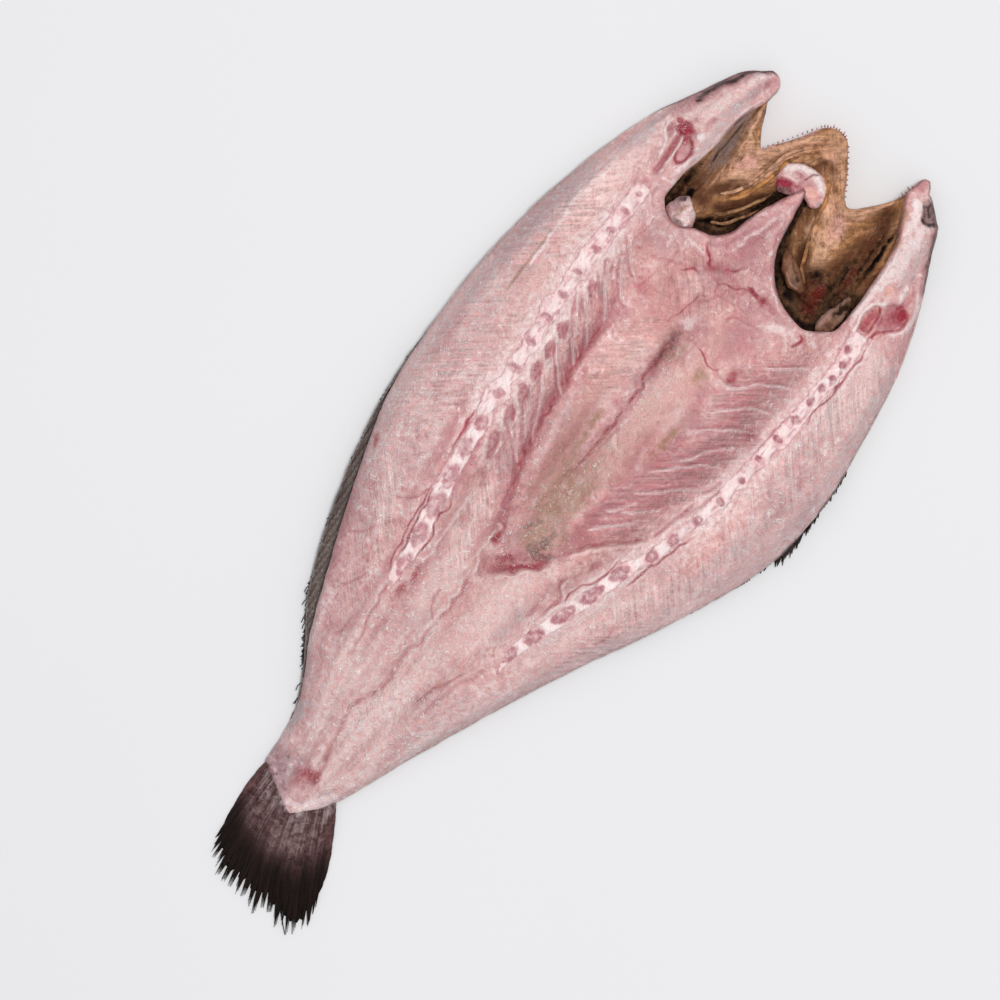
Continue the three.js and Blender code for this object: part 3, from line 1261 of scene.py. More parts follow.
@dataclass(frozen=True)
class PlainFloor:
    """A pale matt studio floor.

    Attributes:
        colour: Its colour.
    """

    colour: Colour = (0.80, 0.80, 0.81)

    def build(self) -> bpy.types.Material:
        """Makes the material.

        Returns:
            The material.
        """
        r = Recipe("floor")
        tone = r.noise(3.0, 2.0)
        r.feed(Base_Color=r.blend(self.colour, (0.78, 0.78, 0.79), tone), Roughness=0.9)
        return r.material


# ---- the flesh


def height_across(knots: Sequence[tuple[Array, Array]], y: Array) -> Array:
    """Height on a smooth line through knots taken in order.

    Args:
        knots: Pairs of offset and height, each an array over the points.
        y: The points' offsets.

    Returns:
        The heights.
    """
    z = np.array(np.broadcast_to(knots[0][1], y.shape), float)
    for (y0, z0), (y1, z1) in zip(knots, knots[1:]):
        z = np.where(y > y0, mix(z0, z1, smooth(y, y0, y1)), z)
    return z


def flesh_level(x: Array, y: Array) -> Array:
    """The flesh's plain upper side: slit edge, loin, backbone, belly wall, belly line and back up.

    Args:
        x: First coordinates.
        y: Second coordinates.

    Returns:
        The heights.
    """
    full = fullness(x)
    opened, throat, middle = smooth(x, -70, -15), smooth(x, 120, 170), belly_line(x)
    belly = mix(BELLY_HEIGHT, FLAP_HEIGHT, throat)
    wall = mix(LOIN_HEIGHT * full * 0.92, belly, opened)
    line = mix(LOIN_HEIGHT * full * 0.7, mix(BELLY_LINE_HEIGHT, FLAP_HEIGHT, throat), opened)
    spine, loin = SPINE_HEIGHT * full, LOIN_HEIGHT * full

    def half(edge: Array, ridge: Array) -> list[tuple[Array, Array]]:
        """Knots from one slit edge in towards the belly line.

        Args:
            edge: The slit edge's y.
            ridge: The backbone's y.

        Returns:
            Pairs of y and height.
        """
        return [
            (edge, EDGE_HEIGHT * full + 1),
            (mix(edge, ridge, 0.3), loin * 0.86),
            (mix(edge, ridge, 0.62), loin),
            (mix(edge, ridge, 0.86), spine * 0.97),
            (mix(ridge, middle, 0.1), spine),
            (mix(ridge, middle, 0.42), wall),
            (mix(ridge, middle, 0.7), wall),
        ]

    right = half(right_edge(x), right_spine(x))
    left = half(left_edge(x), left_spine(x))[::-1]
    return height_across([*right, (middle, line), *left], y)


def skin_level(x: Array, y: Array) -> Array:
    """The skin side: flat where it lies, rounded up to the slit edges.

    Args:
        x: First coordinates.
        y: Second coordinates.

    Returns:
        The heights.
    """
    width = left_edge(x) - right_edge(x)
    roll = np.minimum(SKIN_ROLL, width * 0.25)
    inset = np.minimum(left_edge(x) - y, y - right_edge(x))
    return EDGE_HEIGHT * fullness(x) * 0.8 * rounded(inset, roll)


LEFT_BAND: tuple[Line, Line] = (
    ((-97, 53.4), (-85, 57.4), (-60, 60.6), (-45, 62.6), (-30, 65), (-15, 66), (0, 67), (12, 68),
        (25, 71.4), (37, 68), (46, 70), (55, 68.7), (61, 71), (69, 69.6), (77, 72), (83, 73.5), (92, 70.6),
        (102, 71.4), (115, 71.6), (130, 70.6), (150, 69), (167, 68.6)),
    ((-97, 50.6), (-85, 49.6), (-75, 48.4), (-60, 48.8), (-45, 51), (-30, 53.4), (-15, 55.4), (0, 56.6),
        (10, 56.4), (19, 58.8), (28, 56), (36, 59.4), (44, 57.4), (52, 60.2), (61, 58), (69, 60.8),
        (78, 58.4), (86, 61), (93, 58.6), (100.5, 60.8), (108, 58.6), (115, 60.4), (122, 58), (136, 58.8),
        (150, 58), (167, 57.6)),
)
RIGHT_BAND: tuple[Line, Line] = (
    ((-100, -22.4), (-87, -19.6), (-71, -23.8), (-54, -29.6), (-38, -35.4), (-24, -39.8), (-12, -43.4),
        (0, -50.4), (15, -56), (31, -60.6), (47, -65), (59, -66), (74.5, -69), (88, -70.6), (102, -72),
        (116, -73.6), (127, -75), (138, -76.4), (156, -75.6), (167, -74.6)),
    ((-100, -24.4), (-88, -27.4), (-72, -33), (-54, -39.4), (-36, -46), (-20, -51.8), (-8, -55.6),
        (0, -60.6), (8, -62.4), (16, -65.4), (24, -66.4), (33, -70.4), (40, -71.4), (48, -75), (55, -74.6),
        (62, -78), (70, -77), (78.5, -80), (85, -79.6), (93, -83), (105, -83.8), (120, -85), (131, -86),
        (147, -87.4), (167, -86)),
)

GROOVES: list[Feature] = [
    # The fold between the rib wall and the belly wall: a real groove, with painted shade along it and in the
    # dull patches above it.
    Stroke(((-52, 20), (-31, 22), (-15, 27), (3, 32), (31, 37), (48, 37), (63, 39), (86, 38), (97, 34),
        (105, 29)), 2.9, ROSE, 1.0, -2.4, hard=3),
    Stroke(((-28, 24), (3, 32), (31, 36), (84, 39), (100, 35)), 1.0, BLOOD, 0.7, -0.9, wander=1.0),
    Patch((20, 38.5), (52, 4.4), 7, DULL, 0.8, -0.4, 0.7, 0.6),
    Patch((84, 42), (30, 4), -4, DULL, 0.6, -0.3, 0.8, 0.6),
    # The vent's trough: brown and red of the cut, with a near-black middle that is painted shade.
    Patch((-40, 4), (24, 9), -45, ROSE, 0.9, -1.8, 0.8, 0.8),
    Patch((-31, -3), (9, 7), -50, BROWN, 0.9, -1.2, 0.8, 0.9),
    Patch((-34, -6), (9, 3), -50, BLOOD, 0.5, -1.0, 0.8, 0.9),
    Patch((-33, -8), (6, 1.8), -50, DARK, 0.5, -0.6, 0.9, 0.9),
    Patch((-53, 11.5), (8, 3.4), -30, BLOOD, 0.6, -1.0, 0.8, 0.9),
    *strokes((((-61, 14), (-54, 11), (-37, -8), (-29, -14)), ((-50, 14), (-45, 9), (-40, 3)), ((-44, 17),
        (-36, 19), (-27, 22))), width=2.2, tint=BLOOD, strength=0.95, rise=-2.0, hard=3, wander=1.8,
        fade=0.3),
    *strokes((((-58, 10), (-40, -10), (-34, -14)), ((-46, 15), (-40, 12), (-36, 14)), ((-40, 22), (-34, 20),
        (-30, 23))), width=1.2, tint=PALE, strength=0.9, rise=1.1, wander=1.4),
    # The cut on the right belly wall: a red groove with a wide dull stroke of painted shade along it.
    Stroke(((-27, -15), (-9, -30), (9, -50)), 1.1, BLOOD, 0.45, -1.7, hard=3),
    Stroke(((-24, -14), (-6, -28), (13, -47)), 3.2, DULL, 0.7, -0.6),
    Stroke(((-28, -17), (-10, -32), (7, -51)), 1.0, PALE, 0.9, 0.8, wander=0.8),
    Stroke(((9, -50), (34, -58), (40, -57)), 1.0, BLOOD, 0.75, -1.0),
    Stroke(((44, -59), (50, -62), (58, -64)), 0.9, BLOOD, 0.7, -0.8),
    Stroke(((-12, 11), (24, 5), (63, 1)), 1.0, BLOOD, 0.85, -0.9, wander=1.0),
    Stroke(((4, 5), (22, 2), (56, -1)), 0.6, ROSE, 0.9, -0.4, wander=1.0),
    *blots(((-51, 9, 8, 4, -40), (-43, 4, 5, 3, -45), (-38, 13, 9, 2.4, 10), (-46, 12, 5, 3, 0)),
        tint=BLOOD, strength=0.4, rise=-0.3, edge=0.9, ragged=0.9),
    Stroke(((18, -52), (47, -65), (76, -71), (108, -74)), 1.0, BLOOD, 0.6, -0.7, wander=1.2),
    # A trough along the belly line before the chest: rose and blood, with painted shade in the dull and
    # near-black patches.
    Patch((92, 2), (22, 4.2), 0, ROSE, 0.9, -0.9, 0.7, 0.7),
    Patch((100, 2), (13, 3.4), -6, DULL, 1.0, -0.6, 0.7, 0.8),
    Stroke(((60, 2), (74, 1), (85, 3), (98, 2), (110, 0)), 1.0, BLOOD, 0.8, -1.2, wander=1.4),
    Patch((103, 1.6), (8, 2.4), -4, DARK, 0.35, -0.3, 0.9, 0.9),
    Stroke(((-206, 24), (-167, 31), (-157, 30), (-145, 25), (-135, 23), (-123, 24), (-112, 23), (-104, 19)),
        1.5, ROSE, 0.85, -1.6),
    Stroke(((-152, 0), (-120, -8), (-109, -14), (-94, -18)), 1.4, ROSE, 0.7, -1.3),
    Stroke(((72, 92), (88, 92), (130, 90)), 0.8, BROWN, 0.6, -0.8, hard=3),
    Stroke(((84, 90), (136, 89), (172, 81)), 1.1, BONE, 0.8, 0.7, hard=3, wander=1.0),
    Stroke(((110, 94), (142, 91), (158, 88), (172, 83)), 0.8, GREY, 0.9, -0.5, wander=1.0),
    Stroke(((-174, 44), (-144, 51), (-97, 56), (-85, 54)), 2.6, PALE, 0.7, 0.7),
    Stroke(((-52, 79), (-49, 73), (-44, 67), (-36, 65)), 0.7, ROSE, 1.0, -0.6),
]
WASHES: list[Feature] = [
    *blots(((34, -51, 52, 7, -15), (-18, -82, 28, 14, -25), (40, 104, 52, 7, 0), (28, 43, 44, 5, 5),
        (-30, 72, 30, 5, 10), (-56, 80, 30, 8, 25), (-72, -16, 12, 7, -20), (52, -76, 34, 7, -10),
        (-50, 44, 22, 6, 5), (-140, 42, 20, 8, 5), (-124, 18, 26, 8, 0), (206, 63, 16, 6, -30)), tint=PALE,
        strength=0.6, edge=0.9, ragged=0.5),
    *blots(((-16, -17, 14, 6, -40), (-38, -40, 8, 5, -30), (10, -27, 14, 6, -30), (56, -39, 12, 6, -20),
        (88, -29, 14, 6, 0), (120, 31, 12, 6, 0), (116, -6, 10, 7, 0)), tint=ROSE, strength=0.6, rise=-0.3,
        edge=0.9, ragged=0.7),
    *blots(((-75, -2, 44, 17, -10), (-55, 33, 40, 10, 5), (-22, 40, 14, 7, 10), (-165, 12, 55, 12, 5),
        (86, 20, 17, 12, -30), (56, 14, 18, 6, 5), (74, -12, 30, 9, 0), (150, 82, 36, 12, -15),
        (-30, -62, 38, 9, -30), (-70, -40, 30, 8, -25), (34, -66, 20, 3, -20), (60, -60, 30, 5, -10),
        (96, -60, 26, 6, -5), (140, -98, 40, 10, 5), (60, -106, 60, 6, -5), (-110, 70, 26, 8, 20),
        (-138, 15, 35, 6, 0), (-196, 22, 28, 15, 0), (-150, 34, 40, 12, 5)), tint=PALE, strength=0.7,
        edge=0.8, ragged=0.45),
    *blots(((92, 81, 40, 7, 0), (138, 18, 24, 12, -10), (120, -18, 20, 9, 10)), tint=SALMON, strength=0.36,
        edge=0.9, ragged=0.2),
    *blots(((120, 100, 62, 7, -5), (150, 96, 30, 6, -10), (-95, 30, 18, 8, 10), (-72, -14, 20, 6, -10),
        (-60, 96, 30, 4, 25), (48, 108, 34, 4, 0), (60, 62, 60, 4, 0), (20, -90, 50, 6, -15),
        (0, 40, 16, 5, 20)), tint=GREY, strength=0.45, edge=0.8, ragged=0.5),
    *blots(((-78, 93, 46, 4, 20), (-20, 72, 40, 4, 5), (-119, 44, 14, 3, 5), (25, 19, 45, 6, 0),
        (20, 5, 66, 5, -5), (52, -16, 12, 5, 0), (100, 36, 9, 4, -30), (145, 60, 22, 5, -5),
        (-10, 57, 40, 3, 10), (20, 48, 30, 4, 10), (-60, 44, 40, 4, 5), (-84, 60, 16, 2, 10),
        (36, 104, 24, 5, 0), (84, 41, 30, 2.4, 0), (130, 14, 26, 12, 0), (126, -26, 22, 12, -20),
        (172, -2, 16, 9, 0), (166, 14, 10, 10, 0), (-40, 26, 20, 3, 0)), tint=ROSE, strength=0.7, edge=0.7,
        ragged=0.5),
    *blots(((40, -43, 60, 13, -35), (72, -50, 60, 13, -10), (34, -26, 50, 5, -15), (108, -50, 26, 14, -5),
        (62, -30, 40, 5, -10), (84, -60, 44, 5, -10)), tint=ROSE, strength=0.6, edge=0.7, ragged=0.5),
    *blots(((7, 2, 28, 6, 0), (-18, 2, 18, 7, 0), (20, 11, 9, 3, 0), (32, 11, 8, 2.6, 0),
        (46, 12, 9, 2.6, 0), (98, -22, 6, 4, 20), (105, 1, 9, 7, 60), (96, 2, 16, 4, 0),
        (60, -27, 16, 3, -10)), tint=BROWN, strength=0.7, edge=0.8, ragged=0.7),
    *blots(((-8, 3, 26, 6, -5), (20, 17, 34, 5, 5), (-24, -6, 12, 5, -40)), tint=BROWN, strength=0.35,
        edge=0.9, ragged=0.4),
    *blots(((-220, 42, 10, 14, 0), (-212, 49, 16, 8, -20), (-218, 9, 10, 5, -40)), tint=DULL, strength=1.0,
        edge=0.8, ragged=0.7),
    *blots(((-222, 42, 9, 13, 0), (-211, 50, 14, 6, -10), (-186, 53, 22, 4, 0)), tint=GREY, strength=1.0,
        edge=0.8, ragged=0.8),
    *blots(((-224, 31, 8, 6, 30), (-196, 30, 12, 5, 0), (-170, 24, 20, 5, 5), (-180, 40, 16, 4, 5),
        (-150, 14, 22, 5, 0)), tint=BONE, strength=0.5, rise=0.3, edge=0.9, ragged=0.9),
    *blots(
        ((-224 + 5.2 * (k % 4) + 1.7 * (k % 3), 40 + 3.1 * (k // 3), 1.8, 1.3, 20 * k) for k in range(15)),
        tint=BONE, strength=0.7, rise=0.3, edge=0.7, ragged=0.9,
    ),
    Patch((-208, 34), (10, 8), 20, ROSE, 0.9, -0.5, 0.8, 0.7),
    Stroke(((-224, 28), (-209, 15), (-202, 12)), 1.3, GREY, 0.9, -0.6, fade=0.1, hard=3, wander=1.2),
    Stroke(((-228, 25), (-221, 17), (-212, 11), (-204, 8)), 4.4, BONE, 1.0, 0.6, fade=0.1, hard=3,
        wander=1.0),
    *blots(((50, -12, 52, 8, -5), (20, 20, 42, 7, 5), (0, 3, 34, 9, 0), (70, 16, 26, 5, 0)), tint=BROWN,
        strength=0.2, edge=0.9, ragged=0.7),
    *blots(((-8, -17, 26, 5, -10), (28, 17, 36, 3.4, 0), (-110, 57, 26, 4, 5), (-110, 67, 28, 7, 10),
        (-104, 80, 20, 6, 25), (-74, 92, 18, 4, 20), (44, -18, 28, 5, 0), (-20, 9, 10, 4, 0)), tint=DULL,
        strength=0.62, edge=0.9, ragged=0.5),
    *blots(((-6, -17, 24, 4, -10), (-110, 56, 22, 3, 5), (44, -18, 26, 4, 0)), tint=ROSE, strength=0.6,
        edge=0.8, ragged=0.6),
    *blots(((-92, 32, 14, 5, 10), (-68, 26, 18, 6, 5), (-50, -4, 14, 6, -20)), tint=PALE, strength=0.6,
        edge=0.9, ragged=0.4),
    *blots(((62, -14, 50, 10, -5), (66, 22, 40, 7, 0), (112, 14, 18, 14, 0)), tint=SALMON, strength=0.35,
        edge=0.9, ragged=0.5),
    Patch((119, 0), (5, 4.2), 0, BONE, 0.85, 1.0, 0.5, 0.4),
    Patch((20, 26), (18, 2.6), 8, PALE, 0.7, 0.4, 0.9, 0.7),
    Patch((143, -41), (3, 9), 26, BONE, 0.8, 0.7, 0.7, 0.5),
    Patch((182, -17.5), (11, 1.6), -14, BONE, 0.8, 0.8, 0.7, 0.6),
    Patch((155.6, 22), (1.6, 10), -10, BONE, 0.7, 0.8, 0.7, 0.5),
    Patch((173, 17), (8, 6), -40, ROSE, 0.6, 0, 0.8, 0.6),
    *blots(((152, 2, 7, 10, 20), (149, -34, 6, 12, 10), (168, 24, 5, 6, 30)), tint=ROSE, strength=0.6,
        rise=-0.3, edge=0.8, ragged=0.7),
    *blots(((151, 6, 3, 9, 20), (151, -28, 3, 9, 0)), tint=BLOOD, strength=0.5, rise=-0.3, edge=0.9,
        ragged=0.9),
    *blots(((136, 10, 10, 8, 0),), tint=PALE, strength=0.5, edge=0.9, ragged=0.7),
    *blots(((172, 2, 16, 7, -30), (186, -3, 14, 4, -15), (164, -18, 9, 7, -40), (157, 30, 4, 12, 10)),
        tint=ROSE, strength=0.4, edge=0.9, ragged=0.5),
    *strokes((((164, 28), (168, 18), (176, 10), (204, -4)), ((168, 27), (172, 18), (180, 11), (192, 5)),
        ((206, -13), (190, -15), (172, -21), (160, -31)), ((150, -46), (152, -38), (160, -27), (172, -19)),
        ((160, 4), (186, -4), (200, -9))), width=1.0, tint=BONE, strength=0.6, rise=0.7, wander=1.4,
        fade=0.3),
    *strokes((((166, 25), (170, 16), (178, 9), (190, 2)), ((203, -11), (188, -13), (170, -19), (159, -29)),
        ((158, 2), (184, -6), (198, -11)), ((157, 24), (160, 14), (168, 6), (182, 1))), width=1.2,
        tint=ROSE, strength=0.85, rise=-0.8, wander=1.2, fade=0.3),
]
VEINS: list[Feature] = [
    *blots(((-27, 3, 14, 8, -30), (-24, -4, 9, 6, -40), (-12, 7, 14, 5, 5), (8, 8, 18, 4, 0),
        (6, -6, 20, 4, -5)), tint=BROWN, strength=0.7, rise=-0.3, edge=0.9, ragged=0.9),
    *blots(((-31, -3, 6, 4, -50), (-22, 7, 6, 2.5, -20), (-20, -6, 6, 2.5, -30)), tint=DARK, strength=0.45,
        rise=-0.4, edge=0.9, ragged=0.9),
    *strokes((((-136, 50), (-112, 54), (-94, 54), (-84, 50)), ((-66, 17), (-56, 21), (-42, 22)),
        ((-120, 26), (-104, 22), (-84, 20), (-66, 20)), ((-62, -26), (-46, -29), (-32, -24)), ((-58, 7),
        (-51, 2), (-42, -9)), ((-76, 46), (-64, 43), (-50, 45), (-38, 43), (-22, 46)), ((-58, 29),
        (-44, 34), (-28, 36), (-12, 44))), width=0.8, tint=BONE, strength=0.75, rise=0.5, wander=1.5),
    *strokes((((-134, 47.5), (-112, 52), (-94, 52), (-86, 47)), ((-118, 23), (-104, 19), (-84, 18),
        (-62, 18)), ((-96, 20), (-90, 26), (-78, 30)), ((-62, -24), (-46, -27), (-34, -22)), ((-140, 4),
        (-122, -3), (-108, -9))), width=0.8, tint=BLOOD, strength=0.5, rise=-0.5, wander=1.5),
    *blots(((-58, 40, 10, 3.4, 5), (-38, 40, 9, 3.4, 10), (-18, 42, 8, 3, 14), (-30, 66, 3, 1.6, -50),
        (-46, 76, 3, 1.4, -50), (-64, 72, 3, 1.4, -50)), tint=ROSE, strength=0.6, rise=-0.4, edge=0.6,
        ragged=0.6),
    *strokes((((104, 8), (116, 9), (127, 5), (135, 4), (137, 0), (141, -2), (146, -1)), ((113, -7),
        (105, -25), (109, -28), (114, -30))), width=0.36, tint=BLOOD, strength=0.95, rise=-0.25, fade=0.4,
        wander=1.2),
    *strokes((((39, -84), (44, -79), (52, -77), (58, -78)), ((-60, -56), (-48, -62), (-36, -60)),
        ((-110, 78), (-103, 70), (-92, 66)), ((-84, 92), (-78, 82), (-68, 76)), ((-136, 66), (-128, 60),
        (-116, 60))), width=0.9, tint=ROSE, strength=0.8, rise=-0.5, fade=0.3),
    *strokes((((148, 6), (154, 12), (162, 17)), ((144, 2), (148, -6), (152, -22)), ((152, 1), (156, -4),
        (163, -8)), ((146, 8), (143, 14), (140, 22)), ((151, -30), (152, -22), (153, -15))), width=0.8,
        tint=BLOOD, strength=0.95, rise=-0.6, fade=0.4, wander=1.6),
    Patch((152, -22), (1.6, 6), -8, BLOOD, 1.0, -1.6, 0.7, 0.9),
    Patch((148, -8), (4, 9), 20, BLOOD, 0.3, 0, 0.9, 0.9),
    Stroke(((139, -54), (146, -56), (148, -53)), 0.9, BLOOD, 0.9, -0.6),
    *blots(((86, -63, 3, 5, -20), (-32, 104, 4.5, 1.6, 20), (-205, 30, 5, 5, 0), (-207, 35, 6, 3.4, 40),
        (-203, 25, 5, 2.4, 10), (-92, 46, 7, 2.6, 0), (-81, 44, 6, 2, 10), (109, -37, 6, 4, 0),
        (-24, -42, 5, 1.6, -20)), tint=BLOOD, strength=0.75, edge=0.8, ragged=0.5),
    *blots(((-212, 51, 12, 5, 0),), tint=GREY, strength=1.0, edge=0.6, ragged=0.5),
    *blots(((-101, 19, 8, 1.6, 0), (-215, 18, 9, 2.4, -40), (-223, 25, 5, 3, 60)), tint=BONE, strength=0.9,
        rise=0.3, edge=0.7, ragged=0.6),
    Patch((86, -63), (7, 8), -20, ROSE, 0.6, 0, 0.8, 0.5),
]
SPINE_LINES: list[Feature] = [
    *strokes((((-92.5, 56.5), (-59, 62.5), (-30, 65.5)), ((-82, 57), (-66, 58.5), (-38, 63), (-31, 63)),
        ((-16, 66.5), (10, 68.5), (14, 69)), ((-75, 49), (-71, 50), (-58, 49), (-51, 52), (-40, 50.5),
        (-31.5, 54)), ((-24.5, -53.5), (-5, -58), (1, -61.5), (26, -70)), ((106, -83.5), (120, -84.5),
        (129, -86.5), (152, -88), (165.5, -87)), ((-58, -25.5), (-50, -27.5), (-33, -34.5), (-26, -40),
        (-12.5, -42.5), (-6.5, -46))), width=0.62, tint=BLOOD, strength=0.85, rise=-0.6, fade=0.2,
        wander=1.2, hard=3),
    *strokes((((-50, -30), (-32, -38.5), (-20, -43.5)), ((106, -86), (126, -88.5), (150, -90), (168, -89))),
        width=1.0, tint=BONE, strength=0.8, rise=0.3, wander=0.9),
    *blots(((-38, -25.5, 5, 2.4, -20), (-20, -34, 5, 2.4, -25), (-60, -20, 6, 2, -15)), tint=ROSE,
        strength=0.9, rise=0.4, edge=0.5),
]
SPINE_HALO: list[Feature] = [
    *strokes(
        (
            moved(LEFT_BAND[0][5:], 0, 2), moved(LEFT_BAND[1][8:], 0, -1.6),
            moved(RIGHT_BAND[0][1:], 0, 1.6), moved(RIGHT_BAND[1][1:], 0, -2),
        ),
        width=3.4, tint=BONE, strength=0.5, rise=0.2, wander=1.6,
    ),
    *strokes(
        (moved(LEFT_BAND[0][8:], 0, 5), moved(RIGHT_BAND[1][4:], 0, -6)),
        width=3.0, tint=PALE, strength=0.5, wander=1.6,
    ),
]
LEFT_OVALS = (
    (2, 50.4, 9, 3, 15), (20, 52, 7, 3.4, 15), (34, 52.6, 6.6, 3.4, 18), (48, 53.6, 6.4, 3.6, 18),
    (62, 54.4, 6, 3.6, 20), (75, 55, 5.8, 3.6, 22), (89, 55, 5.8, 3.4, 24), (103, 54.6, 5.8, 3.2, 24),
    (117, 53.6, 6, 3, 24),
)
MUSCLE_OVALS: list[Feature] = [
    *blots(((x, y, long + 3, wide + 1.8, turn) for x, y, long, wide, turn in LEFT_OVALS), tint=BONE,
        strength=0.7, rise=0.4, edge=0.6, ragged=0.9),
    *blots(LEFT_OVALS, tint=ROSE, strength=1.0, rise=-0.5, edge=0.3, ragged=0.4),
    *blots(((x + 1, y - 0.8 * wide, long, wide * 0.35, turn) for x, y, long, wide, turn in LEFT_OVALS),
        tint=BLOOD, strength=0.5, rise=-0.7, edge=0.7, ragged=0.7),
    *strokes(
        (
            ((x - long - 2, y - wide), (x - long * 0.4, y + wide * 0.7), (x + long * 0.6, y + wide + 1.6))
            for x, y, long, wide, _ in LEFT_OVALS
        ),
        width=1.0, tint=BONE, strength=0.8, rise=0.5, hard=3, fade=0.3, wander=1.0,
    ),
]
LEFT_RIBS: Sequence[Line] = (
    ((20, 51.2), (12.8, 43.4), (6.3, 37), (0.8, 32)),
    ((50, 50), (40, 43.4), (28, 38.7), (14, 32.7)),
    ((73, 56), (66.5, 51.7), (57, 44), (47, 36), (46, 32)),
    ((88.6, 56), (83, 51.7), (74, 46), (61, 37)),
    ((71, 44), (63, 38)),
    ((115, 57), (106, 48), (100, 43), (90.5, 37)),
    ((101, 58), (92, 50), (81, 41.5), (74, 38)),
    ((122.5, 57), (108, 47.6), (92.7, 38.8)),
    ((129, 52), (120, 46), (110, 38.7), (107.6, 35), (108, 28.6)),
    ((75, 45), (83, 50), (91, 55), (101, 61)),
    ((140, 55), (128, 45), (122, 37)),
    ((35, 50), (24, 43), (12, 36)),
)
RIGHT_RIBS: Sequence[Line] = (
    ((7, -21), (13.5, -28), (22, -34)),
    ((11, -28), (19, -39), (26.5, -47)),
    ((24, -28), (31, -38), (39.5, -47), (47, -59)),
    ((38, -28), (47, -38), (56, -48), (64.5, -62)),
    ((50, -38), (59, -44), (67, -49.5), (75, -59), (78, -63.5)),
    ((66.6, -32), (75, -41), (83, -52), (89, -63.5), (92.7, -68)),
    ((83, -35), (90.5, -44), (98, -53), (101, -59), (102.7, -68)),
    ((102, -28.5), (102.6, -41), (108, -47), (114, -53), (118, -63.5), (121, -70.7)),
    ((121, -47), (124.5, -53.5), (130, -61.6), (135.5, -70)),
    ((-8, -18), (2, -28), (12, -40)),
)
RIB_LINES: list[Feature] = [
    *strokes(LEFT_RIBS, width=0.8, tint=BONE, strength=0.7, rise=0.4),
    *strokes(RIGHT_RIBS, width=0.7, tint=BONE, strength=0.75, rise=0.35),
    *strokes(
        (moved(rib, aside, aside * 0.5 + 1) for rib in RIGHT_RIBS for aside in (3.6, 7.4, 10.6)),
        width=0.5, tint=PALE, strength=0.26, rise=0.12, wander=1.8, fade=0.4,
    ),
    *strokes(
        (moved(rib, aside, 0.6) for rib in LEFT_RIBS for aside in (4.2, -4.0)),
        width=0.5, tint=PALE, strength=0.4, rise=0.15, wander=1.4, fade=0.3,
    ),
    *strokes((moved(rib, -1.6, 1.4) for rib in LEFT_RIBS), width=1.0, tint=ROSE, strength=0.7, rise=-0.4),
    *strokes((moved(rib, 1.6, 1.4) for rib in RIGHT_RIBS), width=1.0, tint=ROSE, strength=0.7, rise=-0.4),
]
WEAVE: list[Feature] = [
    *blots(((30, 92, 60, 22, 0), (40, -44, 70, 20, -30), (96, -48, 46, 18, -10), (80, 20, 34, 16, 0),
        (-60, -60, 40, 8, -25), (120, 90, 60, 14, -10)), tint=FALL, edge=0.6),
    *blots(((60, 46, 90, 11, 5), (90, -92, 100, 15, -5), (-70, 80, 50, 14, 20), (-10, -74, 50, 12, -20),
        (-30, 34, 50, 10, 5), (140, 10, 26, 24, 0)), tint=CLIMB, edge=0.6),
    *blots(((-150, 20, 80, 44, 10), (-60, 20, 60, 44, 0)), tint=FROST, strength=1.0, edge=0.6),
    *blots(((-40, 88, 60, 22, 25), (120, 99, 60, 9, -5), (34, 100, 50, 12, 0), (-40, -52, 60, 16, -25),
        (90, -100, 90, 14, 0), (20, 26, 40, 6, 5), (60, -4, 60, 10, 0), (90, -60, 60, 8, -5),
        (180, -14, 24, 10, 0)), tint=FROST, strength=0.8, edge=0.7),
    *blots(((-110, 72, 40, 10, 20), (-60, 92, 40, 8, 25), (20, 18, 70, 16, 0), (60, -44, 70, 20, -15),
        (60, 40, 60, 4, 0), (100, 2, 30, 10, 0), (120, 103, 60, 6, -5), (150, -10, 14, 26, 0),
        (60, -104, 70, 8, -5), (-30, -68, 50, 6, -25), (174, 0, 20, 14, 0), (130, 20, 28, 16, 0)),
        tint=DULL, strength=0.42, edge=0.9, ragged=0.5),
]
FLESH_FEATURES: list[Feature] = [
    *WASHES, *GROOVES, *SPINE_HALO, *MUSCLE_OVALS, *SPINE_LINES, *RIB_LINES, *VEINS, *WEAVE,
]

SKIN_STRIP: Line = (
    (-175, 0.2), (-160, 1.5), (-145, 2.2), (-130, 6), (-115, 8), (-101, 8.6), (-87, 8), (-64, 7), (-41, 5),
    (-18, 2.8), (10, 0.8), (42, 0.2),
)
skin_strip = through(SKIN_STRIP)
FLESH_TAIL: Line = (
    (-212, 54), (-216, 48), (-224, 36), (-229, 26), (-222, 18), (-213, 11), (-207, 7.5),
)
THROAT_FRONT: Line = (
    (166, 49.8), (161, 45), (159, 36), (163, 26), (166, 16), (174, 8.5), (188, 4), (200, -1.5), (215, -11),
    (200, -14), (180, -17), (168, -23), (158, -33), (153, -44), (151.5, -53), (155, -62), (160, -68),
    (168, -70),
)


def sides(low: float, high: float, edge: Callable[[Any], Array]) -> Array:
    """Points along a slit edge from one x to another."""
    x = np.linspace(low, high, max(2, int(abs(high - low))))
    return np.column_stack([x, edge(x)])


def uneven(outline: Array, size: float, amount: float, seed: int) -> Array:
    """An outline that noise has pushed about a little."""
    x, y = outline.T
    return outline + amount * np.column_stack([ripple(x, y, size, seed, 2), ripple(x, y, size, seed + 1, 2)])


def streaks(x: Array, y: Array, angle: float, length: float, width: float, seed: int) -> Array:
    """Noise drawn out along one direction.

    Args:
        x: First coordinates.
        y: Second coordinates.
        angle: Degrees from +X to the streaks.
        length: Length of a streak.
        width: Width of a streak.
        seed: Picks the pattern.

    Returns:
        Values from -1 to 1.
    """
    c, s = bearing(angle)
    bent = y * c - x * s + 1.5 * ripple(x, y, 25.0, seed + 7)
    return ripple((x * c + y * s) * width / length, bent, width, seed, 2)


